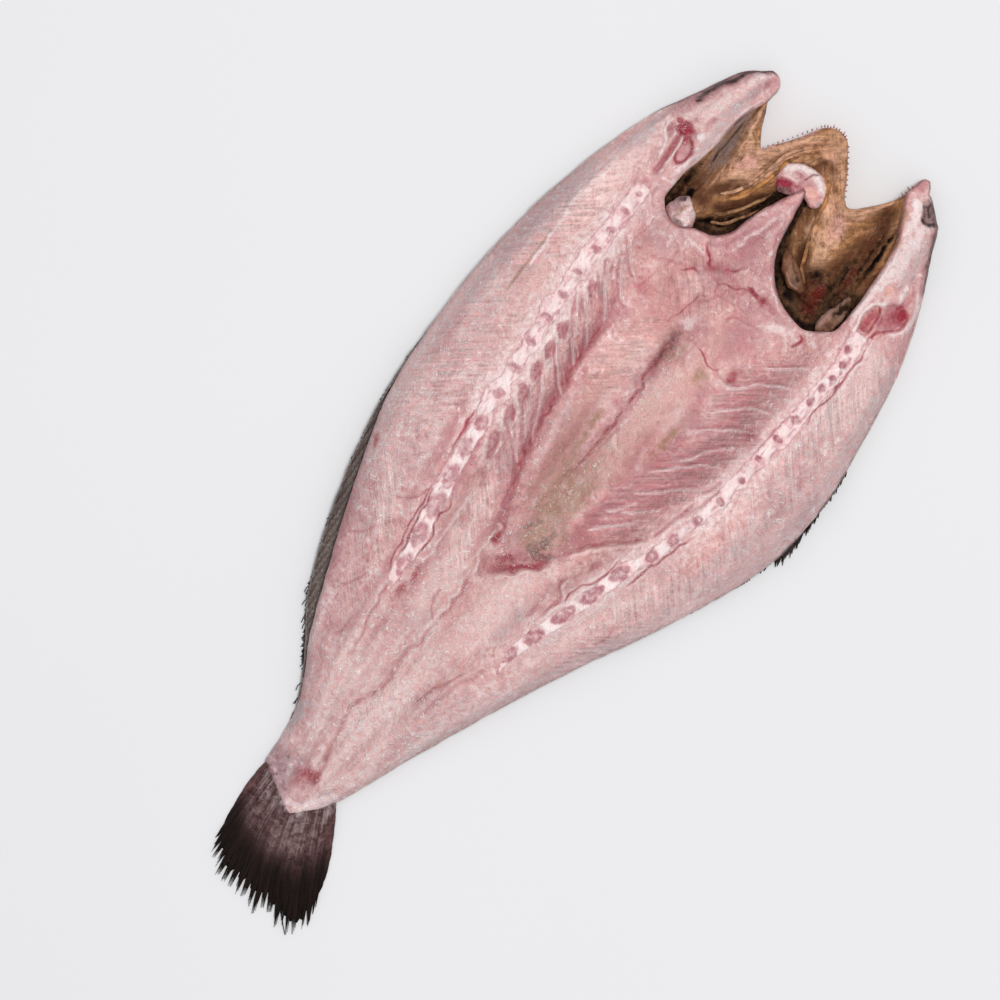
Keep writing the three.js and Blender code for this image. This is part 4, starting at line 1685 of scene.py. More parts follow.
def creases(x: Array, y: Array, size: float, seed: int) -> Array:
    """Broken thin lines, from 0 to 1, where noise crosses nought."""
    line = np.exp(-((ripple(x, y, size, seed, 3) / 0.06) ** 2))
    return line * smooth(ripple(x, y, size * 0.7, seed + 3, 2), -0.1, 0.5)


def hairlines(x: Array, y: Array, size: float, seed: int) -> Array:
    """Thin lines, from 0 to 1, that run on for a long way."""
    line = np.exp(-((ripple(x, y, size, seed, 2) / 0.045) ** 2))
    return line * smooth(ripple(x, y, size * 1.5, seed + 3, 2), -0.5, 0.1)


@dataclass(kw_only=True)
class Flesh(Sheet):
    """The cut side of the two opened halves, behind the skull, made as two pieces.

    Attributes:
        split: Where the skull halves take over.
        tip: Where the pieces' seam ends in the throat.
        features: What lies on it, in painting order.
    """

    name: str = "flesh"
    pitch: float = 0.62
    split: float = 167.0
    tip: Point = (188.0, 4.0)
    features: list[Feature] = field(default_factory=lambda: FLESH_FEATURES)

    def seam(self) -> Array:
        """Where its two sheets meet, from the tail to the throat.

        Returns:
            Points along it.
        """
        x = np.linspace(-229, self.tip[0], 420)
        steer = smooth(x, 150, self.tip[0])
        return np.column_stack([x, mix(mix(26.0, belly_line(x), smooth(x, -229, -190)), self.tip[1], steer)])

    def outline(self) -> Array:
        """Its plan, from the tail along the right half and back along the left.

        Returns:
            Its corners, in order.
        """
        right = sides(-207, self.split, right_edge)
        left = sides(self.split, -212, left_edge)
        left[:, 1] -= skin_strip(left[:, 0]) * ((left[:, 0] > -175) & (left[:, 0] < 42))
        front = curve(THROAT_FRONT)[::-1]
        tail = curve(FLESH_TAIL)
        return uneven(np.vstack([right, front, left, tail[1:-1]]), 9.0, 0.5, 3)

    def halves(self) -> list[Array]:
        """The outlines of its right and left sheets.

        Returns:
            The corners of each, in order.
        """
        whole, seam = self.outline(), self.seam()
        starts = int(np.argmin(np.hypot(*(whole - seam[0]).T)))
        stops = int(np.argmin(np.hypot(*(whole - seam[-1]).T)))
        whole = np.roll(whole, -starts, axis=0)
        stops = (stops - starts) % len(whole)
        seam = np.vstack([whole[:1], seam[3:-3], whole[stops : stops + 1]])
        return [np.vstack([whole[: stops + 1], seam[1:-1][::-1]]), np.vstack([whole[stops:], seam[:-1]])]

    def level(self, x: Array, y: Array) -> Array:
        """Height of the cut surface, for anything that lies on it.

        Args:
            x: First coordinates.
            y: Second coordinates.

        Returns:
            The heights.
        """
        z = flesh_level(x, y) + 0.5 * ripple(x, y, 16.0, 5, 4) + 0.16 * ripple(x, y, 2.6, 6, 2)
        z = z + 0.35 * streaks(x, y, 4.0, 40.0, 7.0, 31) * smooth(x, 0, -90)
        z = z - 0.4 * creases(x, y, 17.0, 81) - 0.35 * creases(x, y, 9.0, 85) * smooth(x, 90, 130)
        left = y > belly_line(x)
        slope = np.where(left, 52.0, -52.0)
        grain = np.where(left, streaks(x, y, -54.0, 26.0, 4.0, 33), streaks(x, y, 50.0, 26.0, 4.0, 35))
        z = z + 0.3 * grain * smooth(np.abs(y - slope), 4, 16)
        return raise_by(self.features, x, y, z)

    def height(self, x: Array, y: Array, away: Array) -> Array:
        """Height of the sheet, rounded at its edges and dipping under the skull halves.

        Args:
            x: First coordinates.
            y: Second coordinates.
            away: Distances to the outline.

        Returns:
            The heights.
        """
        base = mix(4.6, self.level(x, y), smooth(x, -228, -203))
        edge = self.rounding * 0.6 * rounded(away, self.rounding)
        dip = 0.6 * smooth(x, self.split - 5, self.split)
        front = (x > self.split - 8) & ((y > 48) | (y < -66))
        return base - np.where(front & (x > self.split - 4), 0, edge) - np.where(front, dip, 0)

    def marble(self, x: Array, y: Array, masks: Masks) -> None:
        """Lays the marbling that all its tissue shares.

        Args:
            x: First coordinates.
            y: Second coordinates.
            masks: Takes the tints.
        """
        wide, middling = ripple(x, y, 36.0, 61, 3), ripple(x, y, 11.0, 62, 4)
        small = ripple(x, y, 4.0, 63, 3)
        falling = streaks(x, y, -54.0, 24.0, 3.2, 64)
        rising = streaks(x, y, 42.0, 24.0, 3.2, 65)
        left = smooth(y, belly_line(x) - 10, belly_line(x) + 10)
        fold = mix(rising, falling, left) * smooth(x, -100, -40)
        fold = fold + streaks(x, y, 8.0, 34.0, 4.0, 66) * smooth(x, -50, -110)
        even = 1 - 0.55 * smooth(x, 22, 40) * smooth(x, 178, 160) * smooth(y, 66, 74)
        even = even * (1 - 0.25 * smooth(x, -100, -150))
        tail, loin = smooth(x, -80, -150), smooth(x, 150, 110) * (smooth(y, 70, 80) + smooth(y, -82, -90))
        comb = ripple(np.arctan2(y - 28, x + 300) * 100, x * 0.1, 4.5, 131, 2)
        masks.lay(BONE, 0.34 * tail + 0.16 * loin)
        masks.lay(GREY, 0.26 * tail + 0.28 * loin)
        masks.lay(ROSE, smooth(middling + 0.6 * fold + 0.5 * small, 0.1, 0.8) * 0.62 * even)
        masks.lay(PALE, smooth(-middling - 0.5 * fold + 0.5 * wide - 0.3 * small, 0.15, 0.8) * 0.62 * even)
        masks.lay(ROSE, creases(x, y, 17.0, 81) * 0.75)
        masks.lay(BLOOD, creases(x, y, 9.0, 85) * even * 0.25)
        masks.lay(BONE, creases(x, y, 6.0, 88) * 0.5 * even)
        masks.lay(ROSE, creases(x, y, 5.0, 91) * 0.7 * even)
        masks.lay(BONE, creases(x + 1.1, y - 0.9, 17.0, 81) * 0.4)
        masks.lay(BONE, creases(x, y, 9.0, 105) * (0.35 + 0.3 * even))
        masks.lay(PALE, creases(x, y, 4.0, 109) * 0.55)
        masks.lay(ROSE, creases(x, y, 3.4, 113) * 0.5)
        chest = smooth(x, 98, 110) * smooth(x, 172, 150) * smooth(np.abs(y - 4), 46, 30)
        masks.lay(BLOOD, hairlines(x, y, 22.0, 117) * chest * 0.7)
        masks.lay(BLOOD, hairlines(x, y, 12.0, 121) * chest * 0.4)
        masks.lay(BONE, hairlines(x + 0.9, y + 0.9, 22.0, 117) * chest * 0.4)
        masks.lay(DULL, 0.3 * tail * smooth(wide + small, -0.4, 0.6))
        masks.lay(ROSE, smooth(comb, 0.15, 0.6) * 0.5 * tail)
        masks.lay(DULL, smooth(comb, 0.1, 0.5) * 0.4 * tail)
        masks.lay(BONE, smooth(-comb, 0.15, 0.6) * 0.6 * tail)
        masks.lay(GREY, smooth(wide + 0.4 * middling, 0.1, 0.7) * 0.3 * even)
        masks.lay(DULL, smooth(-wide + 0.6 * small + 0.4 * fold, 0.2, 0.9) * 0.35 * even)

    def tint(self, x: Array, y: Array, away: Array, masks: Masks) -> None:
        """Lays its marbling and its tints.

        Args:
            x: First coordinates.
            y: Second coordinates.
            away: Distances to the outline.
            masks: Takes the tints.
        """
        self.marble(x, y, masks)
        # Darker along the outline, where the flesh rounds down: painted shade.
        masks.lay(DULL, (1 - smooth(away, 0.3, 3.5)) * 0.35)
        border = np.minimum(left_edge(x) - y, y - right_edge(x)) + 4 * ripple(x, y, 24.0, 94, 2)
        masks.lay(GREY, (1 - smooth(border, 2, 17)) * 0.6 * smooth(x, -190, -150))
        tint_with(self.features, x, y, masks)
        bile = smooth(x, -34, -16) * smooth(x, 50, 20) * np.exp(-(((y - 3) / 8) ** 2))
        masks.lay(BONE, 0.15 * bile)
        masks.lay(BROWN, 0.8 * bile * smooth(ripple(x, y, 7.0, 97, 3), -0.55, 0.25))
        masks.lay(DARK, bile * smooth(ripple(x, y, 3.4, 98, 3), 0.1, 0.6) * 0.3 * smooth(x, 8, -14))
        masks.lay(BONE, bile * smooth(ripple(x, y, 1.5, 99, 2), 0.3, 0.7) * 0.6)
        # Dark rose, near black and dull along the throat's edge, which overhangs the mouth: painted shadow.
        throat = (1 - smooth(away, 0.2, 2.2)) * smooth(x, 150, 158) * smooth(y, -66, -60) * smooth(y, 46, 40)
        masks.lay(ROSE, throat * 0.9)
        masks.lay(DARK, throat * (1 - smooth(away, 0.2, 1.2)) * 0.6)
        masks.lay(DULL, throat * smooth(ripple(x, y, 6.0, 96, 2), -0.5, 0.4))
        skirt = smooth(x + 0.5 * y, -172, -184) * smooth(y, 30, 40)
        masks.lay(GREY, skirt * 0.85)
        masks.lay(DARK, skirt * smooth(ripple(x, y, 2.6, 125, 2), 0.0, 0.5) * 0.45)
        masks.lay(BONE, skirt * smooth(ripple(x, y, 1.9, 126, 2), 0.1, 0.5) * 0.6)

    def build_halves(self, chart: Chart) -> list[Piece]:
        """Makes its two pieces."""
        names, whole = ("flesh_right", "flesh_left"), self.outline()
        return [self.cut(name, chart, half, whole=whole) for name, half in zip(names, self.halves())]


# ---- skull halves


def ring(centre: Point, radii: Point, turn: float = 0.0, power: float = 2.0) -> Line:
    """Stations of a closed oval, or of a lozenge where power is below 2.

    Args:
        centre: Its middle.
        radii: Its half axes.
        turn: Degrees from +X to its first axis.
        power: 2 for an oval, nearer 1 for a lozenge.

    Returns:
        The stations, closed.
    """
    c, s = bearing(turn)
    found = []
    for k in range(13):
        u, v = math.cos(k * math.pi / 6), math.sin(k * math.pi / 6)
        swell = (abs(u) ** power + abs(v) ** power) ** (-1 / power)
        u, v = radii[0] * u * swell, radii[1] * v * swell
        found.append((centre[0] + u * c - v * s, centre[1] + u * s + v * c))
    return tuple(found)


def distance(path: Line, x: Array, y: Array) -> Array:
    """Distance in plan from points to a smooth line.

    Args:
        path: Stations that the line runs through.
        x: First coordinates.
        y: Second coordinates.

    Returns:
        The distances.
    """
    line = curve(path, 3.0)
    best = np.full(x.shape, np.inf)
    for (ax, ay), (bx, by) in zip(line, line[1:]):
        dx, dy = bx - ax, by - ay
        t = np.clip(((x - ax) * dx + (y - ay) * dy) / (dx * dx + dy * dy), 0, 1)
        best = np.minimum(best, np.hypot(x - ax - t * dx, y - ay - t * dy))
    return best


LEFT_SKULL_INNER: Line = (
    (259, 41), (258.5, 37.5), (257, 34.8), (253, 32.3), (249, 33), (243, 34.3), (238, 36), (234, 37.8),
    (225, 40.4), (215, 42.3), (205, 43.6), (195, 46), (186, 48.6), (178, 49.6), (168, 50.2), (163, 47),
    (160, 44),
)
RIGHT_SKULL_TIP: Line = (
    (240, -83.4), (243, -80), (248, -75), (251.5, -71), (252, -68.8), (255, -67.5), (258, -65.5),
    (258, -62.5), (255, -60.3), (250, -58.8), (245, -57.8), (240, -59.5), (232, -62.5), (222, -67),
    (212, -69.8), (200, -70.6), (185, -70.8), (175, -70.5), (168, -70.2), (160, -69),
)
LEFT_SKULL: list[Feature] = [
    *blots(((222, 56, 34, 9, -25), (180, 76, 26, 6, -10)), tint=PALE, strength=0.7, edge=0.8, ragged=0.4),
    *blots(((204, 47, 26, 3, -10), (232, 44.5, 20, 4, -15), (186, 80, 22, 4, -15)), tint=GREY, strength=0.7,
        edge=0.7, ragged=0.5),
    *blots(((213, 70.5, 15, 3.6, -30), (240, 56, 14, 2.6, -30), (244, 42, 12, 3, -15)), tint=DULL,
        strength=0.8, edge=0.7, ragged=0.5),
    Stroke(((206, 76), (215, 70.5), (240, 57.5), (252, 49.5), (258.5, 43)), 4.2, DULL, 1.0, fade=0.1,
        hard=3, wander=1.0),
    Stroke(((219, 68.5), (244, 55), (253, 48), (258, 42.5), (258.5, 37)), 1.9, DARK, 0.95, fade=0.15,
        wander=1.2),
    *blots(((186, 51.5, 7, 1.6, -10),), tint=BONE, strength=0.9, rise=0.4, edge=0.8, ragged=0.6),
    *blots(((211, 60, 6, 2.6, -20), (216, 52, 8, 2, -20), (250, 38, 7, 3.4, -10)), tint=ROSE, strength=0.85,
        rise=-0.4, edge=0.8, ragged=0.6),
    Stroke(((172, 64.5), (178.5, 62), (197, 62.5), (204, 64)), 1.7, ROSE, 1.0, -2.4, hard=3),
    Stroke(((180, 62), (197, 62.5), (203, 63)), 0.9, BLOOD, 0.75, -0.6),
    Patch((199, 68.4), (6.4, 2.2), 14, ROSE, 1.0, -1.8, 0.4, 0.3),
    Patch((204, 61.5), (4.2, 6), 15, BLOOD, 1.0, -1.5, 0.4, 0.5),
    Patch((199.6, 58), (3.4, 2.4), 10, BLOOD, 0.95, -0.8, 0.5, 0.5),
    Patch((206, 67), (2.4, 2.6), 0, BLOOD, 0.85, -0.6, 0.6, 0.6),
    Patch((193, 56), (7.8, 4.1), 6, ROSE, 0.6, -2.4, 0.35, 0.15),
    Stroke(ring((193, 56), (7.4, 3.9), 6), 1.1, BLOOD, 0.9, -0.3, fade=0, wander=0.9),
    Patch((205, 52), (3.4, 2.6), -10, BONE, 1.0, 1.6, 0.4, 0.25),
    Stroke(((182, 65), (193, 67), (198.5, 71), (204, 71.5), (208, 70)), 0.9, BONE, 1.0, 1.0, hard=3),
    Stroke(((180, 60), (195, 60), (200, 61)), 0.8, BONE, 1.0, 0.8, hard=3),
    Stroke(((166, 51), (197, 45), (230, 40), (241, 36.5)), 1.3, BONE, 1.0, 0.5),
    Stroke(((219.5, 67), (221.5, 65), (224.5, 62.5)), 0.9, DARK, 1.0, -1.0, fade=0.3, wander=0.2),
    *blots(((228, 59, 10, 3, -30),), tint=ROSE, strength=0.5, edge=0.8, ragged=0.8),
    *blots(((226, 54, 12, 2.4, -25), (248, 45, 5, 3, -30)), tint=BONE, strength=0.6, rise=0.3, edge=0.8,
        ragged=0.9),
    Patch((252.4, 45), (2, 4.2), 20, BONE, 1.0, 1.0, 0.4, 0.3),
    Patch((212, 56), (40, 14), -24, FROST, 0.5, 0, 0.6),
]
RIGHT_SKULL: list[Feature] = [
    *blots(((212, -76.5, 34, 5, 0), (232, -70, 14, 4, 5), (186, -73, 22, 2, 0)), tint=BONE, strength=0.85,
        rise=0.3, edge=0.7, ragged=0.4),
    *blots(((214, -84, 20, 4, 5),), tint=GREY, strength=0.6, edge=0.8, ragged=0.6),
    *blots(((172, -100, 18, 6, 5),), tint=ROSE, strength=0.5, edge=0.8, ragged=0.6),
    Patch((175, -80), (10.6, 3.9), -3, SALMON, 1.0, -2.4, 0.35, 0.25),
    Patch((175, -80), (9.6, 3.2), -3, BLOOD, 0.8, 0, 0.7, 0.8),
    Stroke(((166, -82.5), (173, -83.5), (182, -82.5), (185.5, -79.5)), 0.9, BLOOD, 0.9, -0.4),
    Stroke(((162, -78.5), (168, -76), (178, -75), (184.5, -77.5), (187, -82), (191, -84)), 1.0, BONE, 1.0,
        1.0, hard=3),
    Patch((195, -79.6), (3.6, 3), 15, SALMON, 1.0, -1.3, 0.4, 0.3),
    Patch((186, -90), (12, 6), -12, ROSE, 1.0, -2.8, 0.4, 0.4),
    Patch((185, -91), (10, 5), -12, BLOOD, 0.8, -0.5, 0.7, 0.8),
    Patch((187.6, -93.6), (4, 3.4), -20, BLOOD, 1.0, -1.0, 0.5, 0.5),
    Patch((196, -88), (6.4, 2.2), 8, BONE, 0.8, 0.9, 0.6, 0.5),
    Stroke(((150, -87), (165, -86), (172, -87.5), (177, -93), (183, -98), (192, -97)), 1.2, BLOOD, 0.85,
        -1.4, hard=3, wander=1.0),
    Stroke(((174, -90), (179, -97.5), (186, -100.5), (196, -98.5), (205, -92.5)), 1.3, BONE, 0.9, 0.7),
    Stroke(((203, -96.5), (211, -92.5), (220, -89)), 2.2, DULL, 1.0, -0.3, fade=0.1, hard=3),
    Stroke(((202, -98), (211, -94.5), (222, -90)), 0.6, DARK, 0.8, -0.2, fade=0.2),
    Patch((242.6, -66.6), (3, 4.6), -14, BONE, 1.0, 1.0, 0.35, 0.3),
    Patch((244.6, -75), (8.4, 5.6), 42, DARK, 0.8, -0.2, 0.3, 0.5),
    Stroke(((214, -91), (234, -85), (240, -81)), 2.4, DARK, 0.8, -0.2, fade=0.2, wander=1.0),
    *strokes((((238.5, -71), (238, -77), (241, -81.5)), ((240, -82), (246, -78), (251, -71.5)), ((241, -76),
        (245, -73), (249, -72))), width=1.5, tint=DARK, strength=0.95, rise=-0.3, hard=3, wander=1.2),
    Patch((252.6, -63.6), (5, 2.8), 0, ROSE, 0.75, 0.4, 0.6, 0.4),
    Stroke(((208, -70), (221, -67), (240, -60.5)), 2.6, SALMON, 1.0, 0.2, hard=3),
    Stroke(((212, -69.5), (221, -67.5), (240, -61)), 1.8, BROWN, 0.75, 0.3, hard=3, wander=1.2),
    Stroke(((166, -71.5), (205, -72.5), (222, -71)), 1.0, BONE, 1.0, 0.8),
    Patch((215, -80), (34, 9), 0, FROST, 0.5, 0, 0.6),
]


class Half(Enum):
    """The two opened halves."""

    LEFT = "left"
    RIGHT = "right"


@dataclass(kw_only=True)
class Skull(Sheet):
    """One half of the split head, cut side up.

    Attributes:
        half: Which half.
        flesh: The flesh that it joins.
        start: Where it begins, under the flesh's end.
    """

    half: Half
    flesh: Flesh
    pitch: float = 0.55
    start: float = 158.0
    rounding: float = 2.6

    def outline(self) -> Array:
        """Its plan.

        Returns:
            Its corners, in order.
        """
        if self.half is Half.LEFT:
            rim, seed = (sides(self.start, 258, left_edge), curve(LEFT_SKULL_INNER)), 7
        else:
            rim, seed = (sides(self.start, 239, right_edge), curve(RIGHT_SKULL_TIP)), 8
        return uneven(np.vstack(rim), 6.0, 0.3, seed)

    def features(self) -> list[Feature]:
        """Its hollows, clots and gristle."""
        return LEFT_SKULL if self.half is Half.LEFT else RIGHT_SKULL

    def height(self, x: Array, y: Array, away: Array) -> Array:
        """Height of its cut side, dipping under the flesh at its start.

        Args:
            x: First coordinates.
            y: Second coordinates.
            away: Distances to the outline.

        Returns:
            The heights.
        """
        edge = self.rounding * 0.7 * rounded(away, self.rounding)
        dip = 0.8 * smooth(x, self.flesh.split - 3, self.start)
        z = raise_by(self.features(), x, y, self.flesh.level(x, y))
        z += 0.18 * ripple(x, y, 2.4, 9, 2)
        return z - np.where(x < self.start + 4, 0, edge) - dip

    def tint(self, x: Array, y: Array, away: Array, masks: Masks) -> None:
        """Lays its tints.

        Args:
            x: First coordinates.
            y: Second coordinates.
            away: Distances to the outline.
            masks: Takes the tints.
        """
        self.flesh.marble(x, y, masks)
        tint_with(self.flesh.features, x, y, masks)
        tint_with(self.features(), x, y, masks)
        outer = smooth(np.abs(y), 46, 50) if self.half is Half.RIGHT else smooth(y, 36.5, 40)
        rim = (1 - smooth(away, 0.4, 2.0)) * smooth(x, 204, 224) * outer
        masks.lay(DULL, rim)
        share = 0.5 if self.half is Half.RIGHT else 1.0
        masks.lay(DARK, rim * (0.55 + 0.4 * ripple(x, y, 5.0, 97, 2)) * share)


# ---- backbone


Disc = tuple[float, float, float, float, float]

LEFT_DISCS: tuple[Disc, ...] = (
    (-78.6, 52.6, 6.5, 4.2, 5), (-62, 54.6, 7, 4.4, 6), (-43, 56.8, 7.4, 4.9, 6), (-25, 59, 7, 4.3, 8),
    (-7.5, 61, 5.6, 4.3, 6), (8.9, 62, 3.8, 4.1, 0), (26.8, 63, 2.9, 3.8, 0), (43.4, 64, 2.4, 4, 0),
    (60, 65.2, 2.1, 3.8, 0), (76, 65.4, 1.9, 3.9, 0), (91.4, 65.2, 1.8, 3.4, 0), (106, 65.2, 1.8, 3.3, 0),
    (122, 64.4, 2.1, 3.4, 0), (135, 63.6, 1.8, 2.8, 0), (148, 63, 1.7, 2.6, 0), (160, 62.6, 1.6, 2.3, 0),
)
RIGHT_DISCS: tuple[Disc, ...] = (
    (-87.5, -23.2, 4.8, 3.6, -16), (-71, -28, 5, 4, -18), (-52.3, -34.4, 6.4, 4.2, -22),
    (-34.3, -41, 6.6, 4.3, -24), (-16.2, -47.3, 6.3, 3.9, -26), (1.3, -56.3, 3.2, 3.2, -22),
    (15.7, -60.5, 3.3, 2.9, -20), (31.6, -65.3, 2.8, 2.9, -18), (47.3, -69.8, 1.9, 3.2, -16),
    (63.2, -73, 2.1, 2.7, -12), (78.2, -74.2, 1.6, 2.9, -8), (93.2, -75.8, 1.5, 3.3, -6),
    (107.3, -78, 2.3, 2.7, -4), (120, -79, 2.6, 2.5, 0), (130, -80, 2.6, 2.4, 0), (138, -81.4, 1.6, 2, 0),
    (147, -82, 2.4, 2, 0), (155.5, -80, 2.6, 2.3, 0),
)


@dataclass(kw_only=True)
class Backbone(Sheet):
    """The halved backbone of one side: cut vertebrae with the soft discs between them.

    Attributes:
        half: Which half.
        stand: How far the bone stands out of the flesh.
        sink: How deep the discs are.
    """

    half: Half
    pitch: float = 0.42
    steps: int = 1
    bulge: float = 0.0
    tuck: float = 0.0
    stand: float = 0.85
    sink: float = 0.45

    def discs(self) -> tuple[Disc, ...]:
        """Its discs: centre, half length, half height and turn."""
        return LEFT_DISCS if self.half is Half.LEFT else RIGHT_DISCS

    def outline(self) -> Array:
        """Its plan: a ragged band, scalloped where the ribs leave it."""
        top, bottom = LEFT_BAND if self.half is Half.LEFT else RIGHT_BAND
        return uneven(uneven(np.vstack([curve(top), curve(bottom)[::-1]]), 3.4, 0.8, 14), 1.6, 0.7, 19)

    def features(self) -> list[Feature]:
        """Discs with their dark rims, white bone between them, and blots of marrow.

        Returns:
            The features, in painting order.
        """
        found: list[Feature] = []
        discs = self.discs()
        for (x0, y0, a0, b0, _), (x1, y1, a1, b1, turn) in zip(discs, discs[1:]):
            x, y = mix(x0 + a0, x1 - a1, 0.5), mix(y0, y1, 0.5)
            long = max(2.0, (x1 - a1 - x0 - a0) / 2)
            if a1 > 3:
                found.append(Patch((x, y), (2.4, 2.6), turn, BONE, 1.0, 0.35, 0.6, 0.4, 1.2))
                for side in (-1, 1):
                    found.append(Patch((x, y + side * b1 * 0.75), (4.4, 1.5), turn, BONE, 0.9, 0.2, 0.8, 0.6))
            else:
                white, marrow = (x - 0.2 * long, y + 0.7), (x + 0.5 * long, y - 1.4)
                found += [
                    Patch(white, (long * 0.75, b1 * 0.8), turn, BONE, 0.75, 0.25, 0.8, 0.6),
                    Patch(marrow, (long * 0.5, 0.8), turn + 4, BLOOD, 0.28, 0, 0.8, 0.7),
                    Patch((x, y - b1 * 1.15), (long * 0.8, 0.9), turn, ROSE, 0.6, -0.3, 0.8, 0.6),
                ]
        for k, (x, y, long, tall, turn) in enumerate(discs):
            power = 1.45 if long > 5 else 2.0
            place = {"centre": (x, y), "turn": turn, "power": power}
            long, tall = (1.16 * long, 1.12 * tall) if long > 3 else (1.1 * long, 1.05 * tall)
            right = self.half is Half.RIGHT
            found.append(Patch(
                radii=(long, tall), tint=ROSE, strength=1.0 if right else 0.75, rise=-self.sink,
                edge=0.3 if long > 3 else 0.45, ragged=0.35, **place
            ))
            blood = (0.25 if k % 2 else 0.1) + (0.3 if right else 0.0)
            found.append(Patch(
                radii=(long * 0.9, tall * 0.9), tint=BLOOD, strength=blood, edge=0.5, ragged=0.8, **place
            ))
            if long > 3:
                found.append(Patch(
                    radii=(long * 0.66, tall * 0.6), tint=PALE, strength=0.3, rise=0.35, edge=0.6,
                    ragged=0.9, **place
                ))
        return found

    def height(self, x: Array, y: Array, away: Array) -> Array:
        """Height of the cut bone, diving under the flesh at its border.

        Args:
            x: First coordinates.
            y: Second coordinates.
            away: Distances to the outline.

        Returns:
            The heights.
        """
        stand = self.stand * smooth(away, 0, 2.2) - 0.55 * (1 - smooth(away, 0, 0.9))
        z = flesh_level(x, y) + 0.5 * ripple(x, y, 16.0, 5, 4) + stand + 0.3 * ripple(x, y, 2.4, 15, 3)
        return raise_by([*self.features(), *SPINE_LINES], x, y, z)

    def foot(self, x: Array, y: Array, away: Array) -> Array:
        """Where its walls end, inside the flesh."""
        return flesh_level(x, y) - 2.5

    def tint(self, x: Array, y: Array, away: Array, masks: Masks) -> None:
        """Lays its tints.

        Args:
            x: First coordinates.
            y: Second coordinates.
            away: Distances to the outline.
            masks: Takes the tints.
        """
        masks.lay(ROSE, smooth(ripple(x, y, 7.0, 16, 4), 0.0, 0.6) * 0.35)
        masks.lay(ROSE, (1 - smooth(away, 0.2, 1.6)) * 0.8)
        masks.lay(FROST, smooth(ripple(x, y, 9.0, 18, 2), -0.1, 0.5) * 0.5)
        tint_with([*self.features(), *SPINE_LINES], x, y, masks)
        streak = smooth(ripple(x * 0.22, y, 1.5, 17, 2), 0.3, 0.7)
        masks.lay(ROSE, streak * 0.5)
        masks.lay(CLIMB, np.full(x.shape, 0.3))


# ---- ribs


@dataclass
class Ribs:
    """Thin ribs under the belly's lining.

    Attributes:
        flesh: The flesh that they lie in.
        sunk: How deep their middle line lies.
        thick: Half their width.
    """

    flesh: Flesh
    sunk: float = 0.12
    thick: float = 0.24

    def build(self, chart: Chart) -> Piece:
        """Makes the piece.

        Args:
            chart: Places the drawing in the frame.

        Returns:
            The object.
        """
        made = Strands()
        for rib in (*LEFT_RIBS, *RIGHT_RIBS):
            line = uneven(curve(rib, 0.9), 4.0, 0.5, 91)
            share = np.arange(len(line)) / max(1, len(line) - 1)
            radii = self.thick * (0.25 + 0.75 * smooth(np.minimum(share, 1 - share), 0, 0.3))
            level = self.flesh.level(line[:, 0], line[:, 1]) - self.sunk
            made.add(np.column_stack([line, level]), radii, 0.8, {ROSE: 0.5})
        return made.build("ribs", chart)


# ---- mouth


MOUTH_FRONT: Line = (
    (243.5, 34), (236, 31), (229, 28), (222.5, 24.5), (219.3, 21), (224, 17.5), (231, 12), (237, 7.5),
    (243, 3.5), (247.5, 0.5), (250.5, -3), (252, -7), (251.5, -12), (249, -15.5), (243, -19.5), (236, -24),
    (229, -28), (223, -31.5), (220, -35.5), (222, -40), (227, -45.5), (233, -51), (240, -56), (246, -59),
)
MOUTH_BACK: Line = (
    (240, -70), (205, -78), (160, -78), (142, -60), (138, -10), (142, 40), (160, 58), (200, 56), (235, 46),
)
LOWER_JAW: Line = ((217, 24), (230, 13), (243, 4), (250, -8), (243, -19), (230, -27), (218, -37))
MOUTH_RIDGES: tuple[tuple[Line, float, float], ...] = (
    (LOWER_JAW, 9, 17),
    (((176, 32), (190, 17), (208, 9), (226, 2), (231, -9), (222, -23), (203, -29), (182, -37)), 7, 13),
    (((240, 35), (224, 30), (208, 24), (190, 27), (176, 33)), 11, 14),
    (((235, 40), (215, 42), (190, 47)), 7, 14),
    (((218, -38), (204, -42), (188, -44), (176, -50)), 11, 14),
    (((232, -49), (244, -58), (228, -64), (205, -68)), 8, 15),
)
